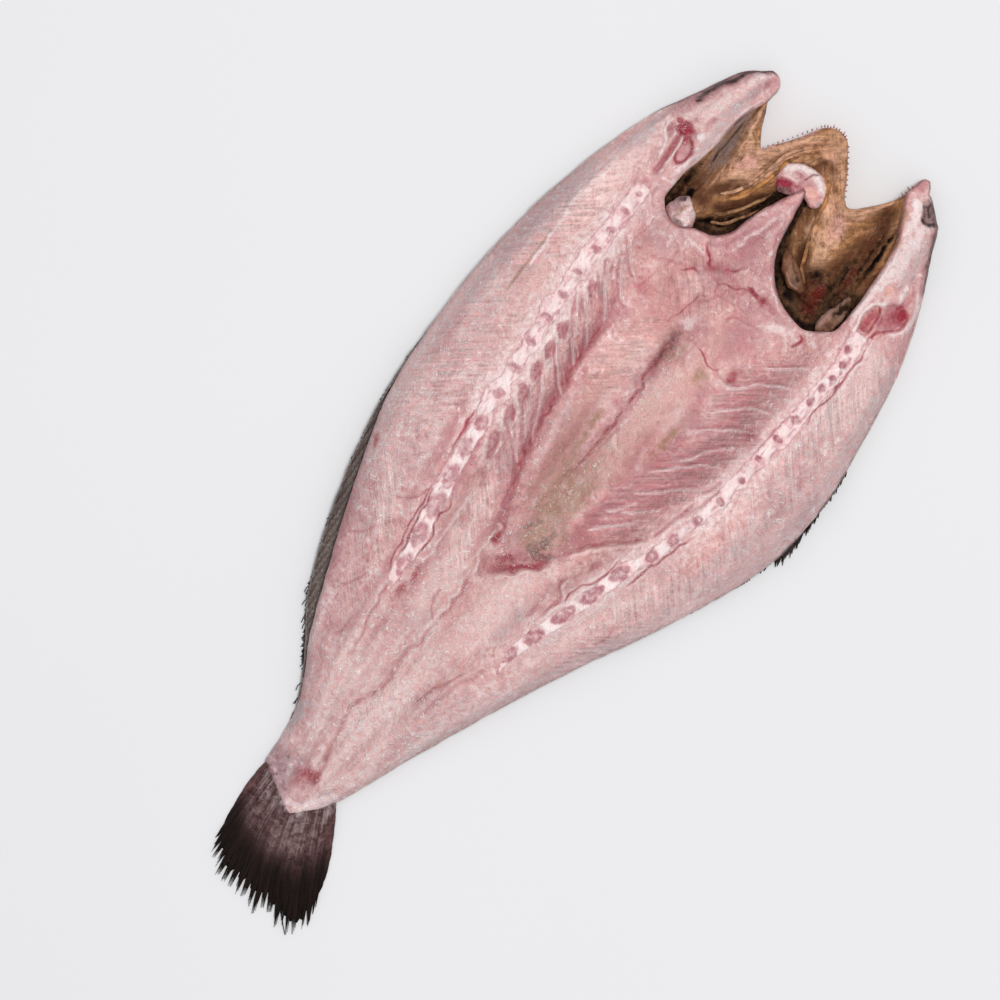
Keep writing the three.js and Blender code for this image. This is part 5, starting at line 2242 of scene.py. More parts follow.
MOUTH_FEATURES: list[Feature] = [
    *blots(((206, 22, 15, 7, -30), (222, 15, 12, 4, -35), (214, 27, 9, 3, 15), (236, 4, 12, 4, -40),
        (240, -12, 6, 8, 0), (204, -35, 17, 7, 15), (219, 21, 14, 4, -35), (190, -38, 10, 4, 25),
        (222, -45, 10, 3, -40), (208, 14, 12, 5, -35), (203, -36, 12, 7, 10), (214, -28, 9, 5, 20),
        (198, -27, 9, 3, 20)), tint=PALE, strength=0.95, rise=1.2, edge=0.7, ragged=0.45),
    *blots(((209, 24, 9, 4.8, -30), (208, -37, 9, 4.6, 20)), tint=ROSE, strength=0.65, rise=0.6, edge=0.8,
        ragged=0.5),
    *blots(((193, 16, 15, 4, -45),), tint=SALMON, strength=0.75, rise=0.5, edge=0.8, ragged=0.4),
    *blots(((214, 38, 24, 4.6, 0),), tint=GREY, strength=0.9, rise=0.6, edge=0.6, ragged=0.5),
    *blots(((181, 41, 11, 4, -10), (191, 26, 11, 4.6, -40), (178, 33, 6, 7, -30), (194, 8, 11, 4.6, -35),
        (186, 11, 12, 5, -45), (204, -60, 36, 7, 5), (182, -52, 16, 7, 0), (170, -36, 10, 10, -40),
        (184, -31, 9, 4, 20), (188, -52, 18, 4, 0), (184, 18, 9, 5, -45), (176, -24, 12, 4, 20)),
        tint=BROWN, strength=0.9, rise=-0.8, edge=0.7, ragged=0.5),
    # Sunken near-black blots in the gill openings and under the overhang of the skull and the flesh: painted
    # shade.
    *blots(((180, 47, 15, 2.4, -10), (159, 38, 4, 9, 0), (168, 25, 12, 3.6, -50), (178, 13, 11, 3.4, -40),
        (190, 4, 12, 2.8, -20), (203, -4, 8, 2.2, -20), (160, -42, 8, 20, -15), (158, -60, 8, 9, 0),
        (176, -21, 20, 2.6, 15), (196, -16, 14, 1.8, 5), (176, -64, 18, 4, 0), (206, -65, 18, 1.8, 0),
        (170, -46, 16, 13, -20), (163, -34, 7, 12, -30), (186, -57, 20, 5, 0), (172, 45, 16, 4.6, -5),
        (165, -30, 6, 8, -40), (172, -58, 8, 6, 0), (178, 40, 4, 3, -10)), tint=DARK, strength=1.0,
        rise=-1.6, edge=0.5, ragged=0.45),
    *blots(((167, -47, 7, 6, 0),), tint=BLOOD, strength=0.85, rise=-0.3, edge=0.8, ragged=0.55),
    *strokes((((198, 30), (214, 31), (242, 34)), ((205, 18), (219, 14), (244, 0)), ((214, -38), (224, -46),
        (241, -57)), ((217, -36), (229, -46), (243, -57)), ((206, 13), (220, 9), (232, 3), (238, -4))),
        width=1.1, tint=PALE, strength=0.8, rise=1.4, wander=0.9),
    *strokes((((196, 40), (212, 39), (228, 37)),), width=0.6, tint=DARK, strength=0.8, rise=-0.8,
        wander=1.0),
    Stroke(((221, 20), (241, 6), (248, 0)), 1.4, ROSE, 0.8, 0.6),
]
# Blood in the deepest pockets, and near-black blots there that are painted shade.
MOUTH_DEPTHS: list[Feature] = [
    *blots(((165, -50, 7, 6, 0), (172, -49, 6, 5, 0), (190, -59, 16, 3.6, 0)), tint=BLOOD, strength=0.85,
        edge=0.9, ragged=0.7),
    *blots(((185, 45, 10, 2.4, -5), (163, -37, 4, 6, -20), (173, -58, 8, 3, 0), (190, -56, 10, 1.4, 0),
        (204, -61, 16, 1.4, 0)), tint=DARK, strength=0.9, edge=0.8, ragged=0.6),
]


@dataclass(kw_only=True)
class MouthLining(Sheet):
    """The lining of the opened mouth with the floors of the gill openings."""

    name: str = "mouth_lining"
    pitch: float = 0.6
    rounding: float = 2.2
    bulge: float = 0.8
    tuck: float = 1.0

    def outline(self) -> Array:
        """Its plan; its back lies under the flesh."""
        return uneven(np.vstack([curve(MOUTH_FRONT), curve(MOUTH_BACK)]), 5.0, 0.35, 31)

    def level(self, x: Array, y: Array) -> Array:
        """Height of the lining.

        Args:
            x: First coordinates.
            y: Second coordinates.

        Returns:
            The heights.
        """
        crest = np.zeros(x.shape)
        for path, width, height in MOUTH_RIDGES:
            away = distance(path, x, y)
            crest = np.maximum(crest, (height - POCKET_FLOOR) * np.exp(-((away / width) ** 2)))
        z = POCKET_FLOOR + crest + 0.7 * ripple(x, y, 9.0, 32, 3) + 0.35 * self.folds(x, y)
        rough = smooth(y, -50, -56) * smooth(x, 165, 180)
        z += rough * 0.55 * np.abs(ripple(x, y, 2.2, 33, 2)) + 0.12 * ripple(x, y, 1.8, 34)
        return raise_by(MOUTH_FEATURES, x, y, z)

    def folds(self, x: Array, y: Array) -> Array:
        """Fine folds, from -1 to 1, that fan out towards the jaws.

        Args:
            x: First coordinates.
            y: Second coordinates.

        Returns:
            A number for each point.
        """
        upper = streaks(x, y, -34.0, 22.0, 1.7, 36)
        cheek = streaks(x, y, -4.0, 26.0, 1.4, 37)
        arch = streaks(x, y, 26.0, 20.0, 1.7, 38)
        lower = streaks(x, y, -36.0, 20.0, 1.6, 39)
        fan = mix(upper, cheek, smooth(y, 26, 33))
        fan = mix(fan, arch, smooth(y, -8, -16))
        return mix(fan, lower, smooth(y, -34, -42))

    def height(self, x: Array, y: Array, away: Array) -> Array:
        """Height of the sheet, rounded at the lips."""
        return np.maximum(self.level(x, y) - self.rounding * 0.8 * rounded(away, self.rounding), 1.8)

    def foot(self, x: Array, y: Array, away: Array) -> Array:
        """Where its walls end."""
        return np.full(x.shape, self.lift)

    def tint(self, x: Array, y: Array, away: Array, masks: Masks) -> None:
        """Lays its tints.

        Args:
            x: First coordinates.
            y: Second coordinates.
            away: Distances to the outline.
            masks: Takes the tints.
        """
        folds = self.folds(x, y)
        jaw = np.exp(-((distance(LOWER_JAW, x, y) / 8.0) ** 2))
        masks.lay(BROWN, smooth(ripple(x, y, 9.0, 35, 3) + 0.7 * folds, 0.1, 0.8) * 0.8 * (1 - 0.8 * jaw))
        masks.lay(PALE, 0.8 * jaw * smooth(ripple(x, y, 8.0, 46, 2), -0.8, 0.3))
        masks.lay(PALE, smooth(-folds + 0.5 * ripple(x, y, 12.0, 40, 2), 0.25, 0.9) * 0.55)
        masks.lay(FALL, smooth(y, -20, -8) * smooth(y, 34, 28) + smooth(y, -34, -42))
        masks.lay(CLIMB, smooth(y, -6, -16) * smooth(y, -40, -34))
        masks.lay(FROST, smooth(ripple(x, y, 14.0, 42, 2), 0.2, 0.7) * 0.5)
        masks.lay(SALMON, 0.3 * smooth(ripple(x, y, 16.0, 49, 2), -0.5, 0.5) * smooth(y, 32, 26))
        tint_with(MOUTH_FEATURES, x, y, masks)
        patchy = 0.25 * ripple(x, y, 7.0, 47, 3)
        # Browner and near black towards the back, where the lining runs under the flesh and the skull:
        # painted shade.
        back = smooth(x, 184, 162) * smooth(y, -16, -26) + smooth(x, 206, 178) * smooth(y, -44, -56)
        deep = np.clip(back + smooth(x, 200, 170) * smooth(y, 40.5, 44) + patchy * (back > 0.05), 0, 1)
        masks.lay(BROWN, 0.75 * deep)
        spot = 0.8 * np.exp(-(((x - 169) / 12) ** 2) - ((y + 42) / 9) ** 2)
        masks.lay(BLOOD, spot * smooth(folds + patchy, -0.6, 0.2))
        masks.lay(BLOOD, smooth(deep, 0.2, 0.6) * 0.3 * smooth(patchy + 0.1 * folds, -0.1, 0.15))
        masks.lay(DARK, smooth(deep + patchy, 0.45, 0.95) * 0.85)
        # Near black along the throat's front edge, which overhangs the lining: painted shadow.
        edge = distance(THROAT_FRONT, x, y) + 2.5 * ripple(x, y, 6.0, 48, 2)
        masks.lay(DARK, smooth(edge, 6.5, 2.5) * 0.9)
        tint_with(MOUTH_DEPTHS, x, y, masks)


Arch = tuple[tuple[tuple[float, float, float], ...], float, Tint, float]

GILL_ARCHES: tuple[Arch, ...] = (
    (((176, 37, 7), (180, 29, 10), (186, 20.6, 12), (196, 12.4, 13.4), (210, 7, 14), (224, 3.5, 13),
        (230, -1, 12)), 1.5, SALMON, 0.9),
    (((180, 34, 8), (185, 27, 11), (193, 19, 13), (204, 13.5, 14), (218, 10, 14.6), (231, 4.5, 14.4),
        (238, -2, 14)), 1.3, PALE, 0.8),
    (((172, 31, 6), (178, 21, 8.6), (186, 12, 10), (195, 6.5, 10.4), (204, 3, 9)), 1.4, BROWN, 0.6),
    (((170, 26, 4), (175, 16, 6), (184, 8, 7), (192, 3, 7)), 1.2, BROWN, 0.9),
    (((228, -18, 13.4), (214, -23, 13.4), (203, -25.6, 12.6), (192, -28.6, 11.6), (182, -33, 10),
        (173, -40, 7)), 1.5, SALMON, 0.9),
    (((226, -22.6, 13), (213, -28, 13.2), (201, -31.5, 12.6), (190, -37, 10.6), (178, -44, 8)), 1.2, PALE,
        0.7),
)


@dataclass
class GillArches:
    """Arches that run from the tongue back into the gill openings.

    Attributes:
        strands: Thin cords that each arch is made of.
    """

    strands: int = 4

    def build(self, chart: Chart) -> Piece:
        """Makes the piece.

        Args:
            chart: Places the drawing in the frame.

        Returns:
            The object.
        """
        made = Strands(sides=8)
        for order, (path, radius, tint, cover) in enumerate(GILL_ARCHES):
            line = curve(path, 1.0)
            steps = np.arange(len(line), dtype=float)
            ends = smooth(np.minimum(steps, steps[::-1]), -2, 7)
            for k in range(self.strands):
                row = steps * 0 + 10 * order + k
                aside = 1.4 * radius * ripple(steps, row, 13.0, 41, 2)
                lift = 0.5 * ripple(steps, row, 9.0, 42, 2)
                way = np.gradient(line, axis=0)
                way /= np.linalg.norm(way, axis=1)[:, None]
                out = np.column_stack([-way[:, 1], way[:, 0], 0 * steps])
                thick = radius * (0.75 - 0.1 * k) * (1 + 0.3 * ripple(steps, row, 3.5, 43, 2)) * ends
                tints = {
                    tint: cover * smooth(ripple(steps, row, 8.0, 44, 2), -0.7, 0.2),
                    BROWN: smooth(ripple(steps, row, 5.0, 45, 2), 0.1, 0.6) * 0.7,
                }
                made.add(line + out * aside[:, None] + (0, 0, 1) * lift[:, None], thick, 0.8, tints)
        return made.build("gill_arches", chart)


@dataclass
class Cushion(Sheet):
    """A small soft piece with a domed top, such as the tongue.

    Attributes:
        rim: Stations of its closed outline.
        low: Height of its border.
        crown: How far its middle rises.
        shoulder: Width of its rounded border.
        features: Its tints and hollows.
        slope: Rise for each millimetre along X and Y.
        bumps: Height of its lumps.
        lining: Whether it is the mouth lining's tissue.
    """

    rim: Line
    low: float
    crown: float
    shoulder: float
    features: tuple[Feature, ...] = ()
    slope: Point = (0.0, 0.0)
    bumps: float = 0.35
    lining: bool = False
    pitch: float = field(default=0.42, kw_only=True)
    tuck: float = field(default=0.4, kw_only=True)

    def outline(self) -> Array:
        """Its uneven plan."""
        return uneven(curve((*self.rim, self.rim[0]))[:-1], 2.6, 0.9, 52)

    def height(self, x: Array, y: Array, away: Array) -> Array:
        """Height of its domed top.

        Args:
            x: First coordinates.
            y: Second coordinates.
            away: Distances to the outline.

        Returns:
            The heights.
        """
        middle = np.mean(np.array(self.rim), axis=0)
        share = np.clip(away / self.shoulder, 0, 1)
        dome = self.crown * np.sqrt(1 - (1 - share) ** 2)
        tilt = (x - middle[0]) * self.slope[0] + (y - middle[1]) * self.slope[1]
        z = self.low + dome + tilt + self.bumps * ripple(x, y, 3.6, 51, 4) * (0.3 + 0.7 * share)
        return raise_by(self.features, x, y, z)

    def foot(self, x: Array, y: Array, away: Array) -> Array:
        """Height of its underside."""
        return np.full(x.shape, self.low - 2.5)

    def tint(self, x: Array, y: Array, away: Array, masks: Masks) -> None:
        """Lays its tints."""
        tint_with(self.features, x, y, masks)


TONGUE = Cushion(
    name="tongue",
    rim=(
        (211, 6), (217, 6.6), (222.5, 4), (226.4, -3), (227, -12), (224.4, -19), (219, -23), (212, -22.4),
        (209.4, -17), (212, -11), (208, -6), (206.6, 1),
    ),
    low=12.4, crown=2.4, shoulder=3.4, bumps=1.6,
    features=(
        Patch((213, -6), (8, 12), 0, ROSE, 0.9, 0, 0.6, 0.8),
        Patch((216, -1), (5, 4), 30, PALE, 0.8, 0.6, 0.8, 0.9),
        Patch((209.6, 0), (4.4, 9), 10, BLOOD, 1.0, -1.2, 0.6, 0.7),
        Patch((208.6, -1), (2, 6), 10, DARK, 0.7, -0.5, 0.8, 0.7),
        Stroke(((215, 5), (220.6, 2), (223.6, -4), (224.2, -11), (222, -17), (217, -20.6)), 2.6, BONE,
            1.0, 0.8, hard=3, wander=1.2),
        Patch((214.6, -15), (4, 4.6), 0, SALMON, 0.9, 0.4, 0.6, 0.4),
        Patch((213, -10), (2.6, 1.4), 10, BLOOD, 0.8, -0.6, 0.7, 0.5),
        Stroke(((218, -7), (223, -9.5), (226, -13)), 0.5, DARK, 0.8, -0.8),
        Stroke(((225.4, 1), (227, -6), (226.6, -14)), 0.9, GREY, 0.9, -0.4),
        Patch((212.6, -21.6), (2.6, 0.9), -10, GREY, 0.9, -0.5, 0.6, 0.5),
        Patch((219, -3), (4, 3), 30, DULL, 0.5, -0.5, 0.8, 0.5),
    ),
)
WHITE_LUMP = Cushion(
    name="gill_lump",
    rim=(
        (159, 33.6), (157.6, 38), (160, 43.6), (165, 46), (170, 44.6), (174.6, 41.6), (176, 36.6),
        (173, 33.6), (170.6, 30.6), (165, 29), (161, 30),
    ),
    low=10.0, crown=3.0, shoulder=3.4, bumps=2.2,
    features=(
        Patch((166, 38), (12, 11), 0, GREY, 0.8, 0, 0.4, 0.4),
        Patch((166, 34.6), (7, 4), 0, BONE, 0.8, 0.5, 0.8, 0.9),
        Patch((163, 41), (3, 3), 0, BONE, 0.6, 0.5, 0.8, 0.9),
        Patch((166, 42), (7, 3), 6, DULL, 0.8, 0, 0.7, 0.8),
        Patch((172.6, 41.6), (3, 2), -30, DARK, 0.8, -0.6, 0.7, 0.6),
        Patch((160.6, 37), (1.6, 3), 0, DARK, 0.6, -0.6, 0.7, 0.6),
        Stroke(((161, 39), (166, 38.4), (172, 36.4)), 0.9, BROWN, 0.8, -1.0, wander=1.6),
        Stroke(((159, 33), (158, 38), (161, 44), (167, 46)), 1.2, BROWN, 0.7, -0.6, wander=1.2),
    ),
)
GILL_LEAF = Cushion(
    name="gill_leaf",
    rim=(
        (166.5, -40.5), (166.5, -34.5), (170.5, -28), (175, -23.4), (180.6, -21), (182.2, -25), (180, -31),
        (175.4, -37), (170.5, -42),
    ),
    low=8.6, crown=1.6, shoulder=2.0, slope=(0.05, 0.0), bumps=1.2, lining=True,
    features=(
        Patch((175, -31), (16, 16), 0, BROWN, 0.6, 0, 0.3, 0.3),
        Patch((176, -29), (9, 3.4), 50, ROSE, 0.4, 0, 0.8, 0.8),
        Patch((172, -35), (6, 4), 50, GREY, 0.5, 0, 0.8, 0.8),
        Stroke(((168, -40), (168.4, -34), (173, -27)), 0.6, ROSE, 0.6, 0.2),
        Stroke(((171, -39), (174, -33), (180, -26)), 0.7, DARK, 0.6, -0.5, wander=1.0),
    ),
)
GILL_FLAP = Cushion(
    name="gill_flap",
    rim=(
        (155.5, -59.5), (161, -57.8), (168, -59.6), (174, -62.6), (181, -64.6), (176, -68.4), (166, -68.2),
        (157.5, -65.5),
    ),
    low=9.6, crown=1.6, shoulder=2.2, bumps=1.2, lining=True,
    features=(
        Patch((167, -63), (20, 9), -14, GREY, 0.6, 0, 0.4, 0.3),
        Patch((163, -61.6), (8, 2.6), -14, ROSE, 0.5, 0, 0.8, 0.9),
        Patch((172, -65), (8, 2.4), -14, DARK, 0.9, -0.8, 0.7, 0.8),
        Patch((160, -64), (6, 3), -14, BROWN, 0.7, -0.4, 0.8, 0.8),
    ),
)


@dataclass
class Teeth:
    """Rows of small teeth on the jaws.

    Attributes:
        rows: Lines with the teeth's height above the lining, their length and spacing.
    """

    rows: tuple[tuple[Sequence[tuple[float, float, float]], float, float], ...] = (
        (((221, 21.3, 13.4), (231, 13.8, 15), (241, 6.6, 16), (248.5, 1.5, 15.5)), 0.35, 2.9),
        (((249.5, 0, 15), (252, -4.5, 15), (252.4, -9, 15), (250.8, -14, 15)), 2.4, 1.7),
        (((248, -17.3, 15), (240, -22.5, 15), (230, -28.5, 14.5), (222, -33, 13)), 0.35, 3.1),
        (((220, 18.6, 14.4), (230, 11.2, 15.8), (240, 4.2, 16.4), (246, -1, 16)), 0.5, 2.4),
        (((238.5, -55, 13.5), (243, -56.5, 14.5), (250, -58.3, 14)), 2.2, 2.4),
    )

    def build(self, chart: Chart) -> Piece:
        """Makes the piece.

        Args:
            chart: Places the drawing in the frame.

        Returns:
            The object.
        """
        made = Strands(sides=6)
        for row, (path, length, pitch) in enumerate(self.rows):
            line = curve(path, pitch)
            ways = np.gradient(line, axis=0)
            for k, (start, way) in enumerate(zip(line, ways)):
                out = np.array([way[1], -way[0], 0]) / (np.linalg.norm(way) + 1e-9)
                out = -out * 0.35 if row < 4 else np.array([0.25, 0.97, 0.0])
                lean = chance(k * 1.7, row * 9, 61)
                tip = start + out * length * (0.8 + 0.7 * lean) + (lean * 0.9, lean * 0.5, 0.9)
                middle = (start + tip) / 2 + (0, 0, 0.35)
                tints = {BROWN: 0.9} if row == 4 else {ROSE: 0.9}
                made.add(np.array([start - out * 0.6, middle, tip]), (0.5, 0.36, 0.08), tints=tints)
        return made.build("teeth", chart)


# ---- tail fin


FIN_OUTLINE: Line = (
    (-206, 47), (-212, 53), (-225, 54.6), (-240, 54.2), (-252, 53), (-262, 50.5), (-268, 48), (-274, 43),
    (-277, 34), (-278, 22), (-278.6, 8), (-279.5, -2), (-280, -10), (-276, -15.5), (-266, -14),
    (-256, -12.6), (-246, -10.4), (-235, -6), (-225, -1), (-215, 4.6), (-206, 10),
)
FIN_ROOTS: Line = (
    (-208, 51), (-214, 46), (-220, 36), (-224, 27), (-219, 20), (-213, 14), (-207, 9.5),
)
FIN_ENDS: Line = (
    (-258, 52.4), (-267, 48.5), (-273, 40), (-275.5, 30), (-277, 16), (-278, 2), (-278.5, -9),
    (-268, -14.4), (-256, -12.8),
)


@dataclass(kw_only=True)
class TailFin(Sheet):
    """The tail fin: a fan of frosted rays, clumped and frayed at their ends, over a thin web.

    Attributes:
        rays: Number of rays.
        clumps: Number of clumps that the rays' ends draw into.
        thick: Height of the web.
        fray: How deep the web is torn between the clumps.
    """

    name: str = "tail_fin"
    pitch: float = 0.7
    steps: int = 1
    bulge: float = 0.1
    tuck: float = 0.1
    rays: int = 124
    clumps: int = 21
    thick: float = 1.1
    fray: float = 9.0

    def clump(self, share: float) -> float:
        """Middle of the clump that a ray belongs to, as a share of the fan."""
        spread = share + 0.025 * chance(share * 9, 3, 70)
        return (math.floor(spread * self.clumps) + 0.5) / self.clumps

    def ray(self, share: float) -> Array:
        """Middle line of a ray, root first, its end drawn towards its clump.

        Args:
            share: Its place in the fan, from 0 to 1.

        Returns:
            Points along it.
        """
        root, end = curve(FIN_ROOTS, 0.5), curve(FIN_ENDS, 0.5)
        target = mix(share, self.clump(share), 0.5)
        start = root[int(share * (len(root) - 1))]
        middle = end[int(share * (len(end) - 1))]
        stop = end[min(len(end) - 1, max(0, int(target * (len(end) - 1))))]
        way = (stop - start) / np.hypot(*(stop - start))
        start = start - way * (3.0 + 2.0 * chance(share * 30, 6, 69))
        noise = chance(share * 40, 5, 71, 2)
        reach = 4.5 + 3.4 * chance(self.clump(share) * 50, 8, 72) + 4.2 * noise
        bow = np.array([0.0, 1.0]) * 2.2 * math.sin(math.pi * share)
        waist, shoulder = mix(start, middle, 0.5) + bow, mix(start, middle, 0.78) + 0.6 * bow
        return curve((start, waist, shoulder, stop + way * reach), 1.6)

    def outline(self) -> Array:
        """Its web's plan, torn between the clumps along the hind edge.

        Returns:
            Its corners, in order.
        """
        rim = curve(FIN_OUTLINE, 0.6)
        torn = smooth(rim[:, 0], -252, -270)
        place = (rim[:, 1] + 0.1 * rim[:, 0]) / 3.3 + 0.3 * ripple(rim[:, 0], rim[:, 1], 6.0, 73)
        tooth = np.maximum(0, 2 * np.abs(place % 1.0 - 0.5) - 0.35)
        deep = self.fray * torn * tooth * (0.8 + 0.5 * ripple(rim[:, 0], rim[:, 1], 7.0, 74))
        deep = deep + 3.0 * torn
        towards = np.array([-222.0, 28.0]) - rim
        towards /= np.hypot(*towards.T)[:, None]
        return uneven(rim + towards * deep[:, None], 3.0, 0.3, 72)

    def height(self, x: Array, y: Array, away: Array) -> Array:
        """Height of the web."""
        z = self.thick * 0.7 + 2.6 * smooth(x, -242, -212) + 0.2 * ripple(x, y, 6.0, 75, 2)
        return z * smooth(away, -0.6, 1.0) + 0.1

    def foot(self, x: Array, y: Array, away: Array) -> Array:
        """Its underside."""
        return 0.12 + 1.6 * smooth(x, -234, -214)

    def tint(self, x: Array, y: Array, away: Array, masks: Masks) -> None:
        """Lays its tints: dull purple at the root, near black at the ends."""
        masks.lay(ROSE, smooth(x, -258, -220) * 0.7)
        masks.lay(DARK, smooth(x, -230, -252))

    def build_rays(self, chart: Chart) -> Piece:
        """Makes the rays and one stray ray.

        Args:
            chart: Places the drawing in the frame.

        Returns:
            The object.
        """
        made = Strands(sides=6)
        for k in range(self.rays):
            share = (k + 0.5) / self.rays
            line = self.ray(share)
            run = np.linspace(0, 1, len(line))
            lift = 0.35 * chance(k * 2.3, 4, 79)
            z = 1.15 + lift * run + (2.1 + lift) * smooth(run, 0.45, 0.06) - 0.5 * smooth(run, 0.85, 1.0)
            radii = mix(0.9, 0.5, smooth(run, 0.1, 0.8)) * (1 - 0.8 * smooth(run, 0.82, 1.0))
            radii = radii * (1 + 0.25 * ripple(run * 40, run * 0 + k, 2.0, 76))
            patchy = ripple(line[:, 0] * 0.35, line[:, 1], 4.5, 77, 3)
            single = chance(k * 1.9, 1, 78)
            side = smooth(share, 0.0, 0.1) * smooth(share, 1.0, 0.93)
            frost = np.clip(0.42 + 0.45 * single + 0.7 * patchy, 0, 1)
            frost = smooth(run, 0.62, 0.08) * frost * mix(0.35, 1.0, side)
            tints = {
                ROSE: smooth(run, 0.8, 0.2) * (0.75 + 0.25 * patchy),
                GREY: frost,
                PALE: smooth(run, 0.26, 0.04) * smooth(patchy, -0.5, 0.5),
                DARK: smooth(run, 0.35, 0.7) * (0.85 + 0.15 * single),
                FROST: smooth(run, 0.6, 0.1),
            }
            made.add(np.column_stack([line, z]), radii, 0.8, tints)
        stray = curve(((-262, 8, 1.8), (-272, 2, 2.0), (-279, -4, 2.0), (-285, -10, 1.4)), 2.0)
        made.add(stray, np.linspace(0.6, 0.2, len(stray)), 0.8, {DARK: 1.0})
        return made.build("tail_fin_rays", chart)


@dataclass
class EdgeRemains:
    """Short stubs and hairs of the back fins that were left along the slit edges.

    Attributes:
        pitch: Distance between stubs.
    """

    pitch: float = 0.8

    def row(
        self, made: Strands, low: float, high: float, edge: Callable[[Any], Array], side: float,
        length: float, swept: float,
    ) -> None:
        """Adds stubs along a stretch of a slit edge.

        Args:
            made: Takes the stubs.
            low: Where the stretch begins.
            high: Where it ends.
            edge: The slit edge.
            side: 1 outwards on the left half, -1 on the right.
            length: Longest stub.
            swept: How far a stub leans towards the tail, as a share of its length.
        """
        for k, x in enumerate(np.arange(low, high, self.pitch)):
            wild, patchy = chance(k * 1.7 + low, side, 95), chance(x / 9, side / 9, 96)
            reach = length * max(0.12, 0.4 + 0.5 * wild + 0.7 * patchy)
            y = float(edge(x)) - side * 1.2
            tip = (x - swept * reach, y + side * (1.0 + reach), 1.2 + 0.6 * wild)
            middle = (x - 0.4 * swept * reach, y + side * (0.7 + 0.5 * reach), 2.2)
            tints = {DARK: 0.8, GREY: max(0.0, patchy)}
            made.add(np.array([(x, y, 2.4), middle, tip]), (0.9, 0.65, 0.15), 0.7, tints)

    def hairs(self, made: Strands, tufts: Sequence[tuple[float, float, int, float]]) -> None:
        """Adds fine fin hairs that lie back towards the tail along the left edge.

        Args:
            made: Takes the hairs.
            tufts: Where each tuft begins and ends, its number of hairs and their longest length.
        """
        for low, high, count, longest in tufts:
            for k in range(count):
                wild, bent, sunk = (chance(k * 2.3 + low, column, 98) for column in (1, 5, 9))
                x = mix(low, high, (k + 0.5 + 0.8 * wild) / count)
                long = longest * (0.65 + 0.6 * bent)
                start = np.array([x, float(left_edge(x)) - 1.4 + 0.8 * sunk, 2.6 + 0.5 * wild])
                inward = float(left_edge(x) - left_edge(x - long)) * 0.35
                end = start + (-long, long * (0.18 + 0.3 * wild) - inward, -0.6)
                middle = (start + end) / 2 + (0, 0.4 + 0.5 * sunk, 0.4)
                tints = {DARK: 0.6, GREY: max(0.0, bent)}
                made.add(curve((start, middle, end), 1.0), 0.27, 0.8, tints)

    def build(self, chart: Chart) -> Piece:
        """Makes the piece.

        Args:
            chart: Places the drawing in the frame.

        Returns:
            The object.
        """
        made = Strands(sides=5)
        self.row(made, 30, 108, right_edge, -1.0, 3.6, 1.7)
        self.row(made, -52, 30, right_edge, -1.0, 1.0, 0.6)
        self.row(made, -160, 30, left_edge, 1.0, 1.1, 1.6)
        tufts = ((-183, -164, 7, 9.0), (-158, -128, 12, 5.0), (-132, -116, 9, 8.0), (-112, -40, 26, 3.0))
        self.hairs(made, tufts)
        return made.build("edge_remains", chart)


# ---- skin


def lateral_line(edge: Callable[[Any], Array]) -> Line:
    """The pored line along one flank, from the tail to the gill cover."""
    x = np.arange(-200.0, 150.0, 22.0)
    return tuple(zip(x, mix(edge(x), belly_line(x), 0.42 - 0.12 * smooth(x, 40, 150))))


SKIN_FEATURES: list[Feature] = [
    *strokes((((180, 63), (164, 58), (153, 46), (151, 32), (158, 19), (174, 10), (192, 6)), ((180, -77),
        (163, -73), (151, -62), (148, -47), (153, -32), (168, -21), (190, -15))), width=1.7, tint=BROWN,
        strength=0.9, rise=0.5, hard=3),
    *strokes((((196, 62), (184, 54), (180, 40), (186, 26), (204, 17)), ((242, 45), (226, 37), (208, 32)),
        ((196, -78), (183, -70), (178, -55), (184, -40), (204, -30)), ((244, -68), (226, -60), (208, -54)),
        ((218, 5), (232, -2), (246, -6)), ((218, -14), (232, -11), (246, -8))), width=0.9, tint=BROWN,
        strength=0.7, rise=0.25),
    *strokes((lateral_line(left_edge), lateral_line(right_edge)), width=0.7, tint=BROWN, strength=0.6,
        rise=0.12, wander=0.8),
    *blots(((246, 50, 1.5, 0.8, -20), (241, 52, 1, 0.8, -20), (246, -74, 1.5, 0.8, 20),
        (241, -75, 1, 0.8, 20), (-50, 3, 4.5, 2, 0)), tint=BROWN, strength=0.9, rise=0.5, edge=0.5),
]


@dataclass(frozen=True)
class Fan:
    """A small fin laid flat against the skin side.

    Attributes:
        roots: Where its first and last ray start.
        angles: Degrees from +X to its first and last ray.
        lengths: Length of its first, middle and last ray.
        rays: Number of rays.
    """

    roots: tuple[Point, Point]
    angles: Point
    lengths: tuple[float, float, float]
    rays: int

    def lay(self, made: Strands, level: float) -> None:
        """Adds its overlapping flat rays.

        Args:
            made: Takes the rays.
            level: Height that they lie at.
        """
        for k in range(self.rays):
            share = k / (self.rays - 1)
            angle = math.radians(mix(*self.angles, share) + 1.5 * math.sin(k * 2.3))
            first, middle, last = self.lengths
            length = mix(mix(first, middle, min(1, 2 * share)), last, max(0, 2 * share - 1))
            start = mix(np.array(self.roots[0]), np.array(self.roots[1]), share)
            way = np.array([math.cos(angle), math.sin(angle)])
            side = np.array([-way[1], way[0]]) * 2.0 * math.sin(k * 1.7)
            line = [start + way * length * t + side * t * t for t in (0, 0.25, 0.5, 0.75, 1)]
            points = np.column_stack([line, [level + 0.04 * (k % 2)] * 5])
            tints = {DARK: np.array([0, 0.1, 0.3, 0.6, 0.9]), GREY: np.array([0.6, 0.4, 0.2, 0, 0])}
            made.add(points, (1.1, 1.7, 2.1, 2.0, 0.5), 0.08, tints)


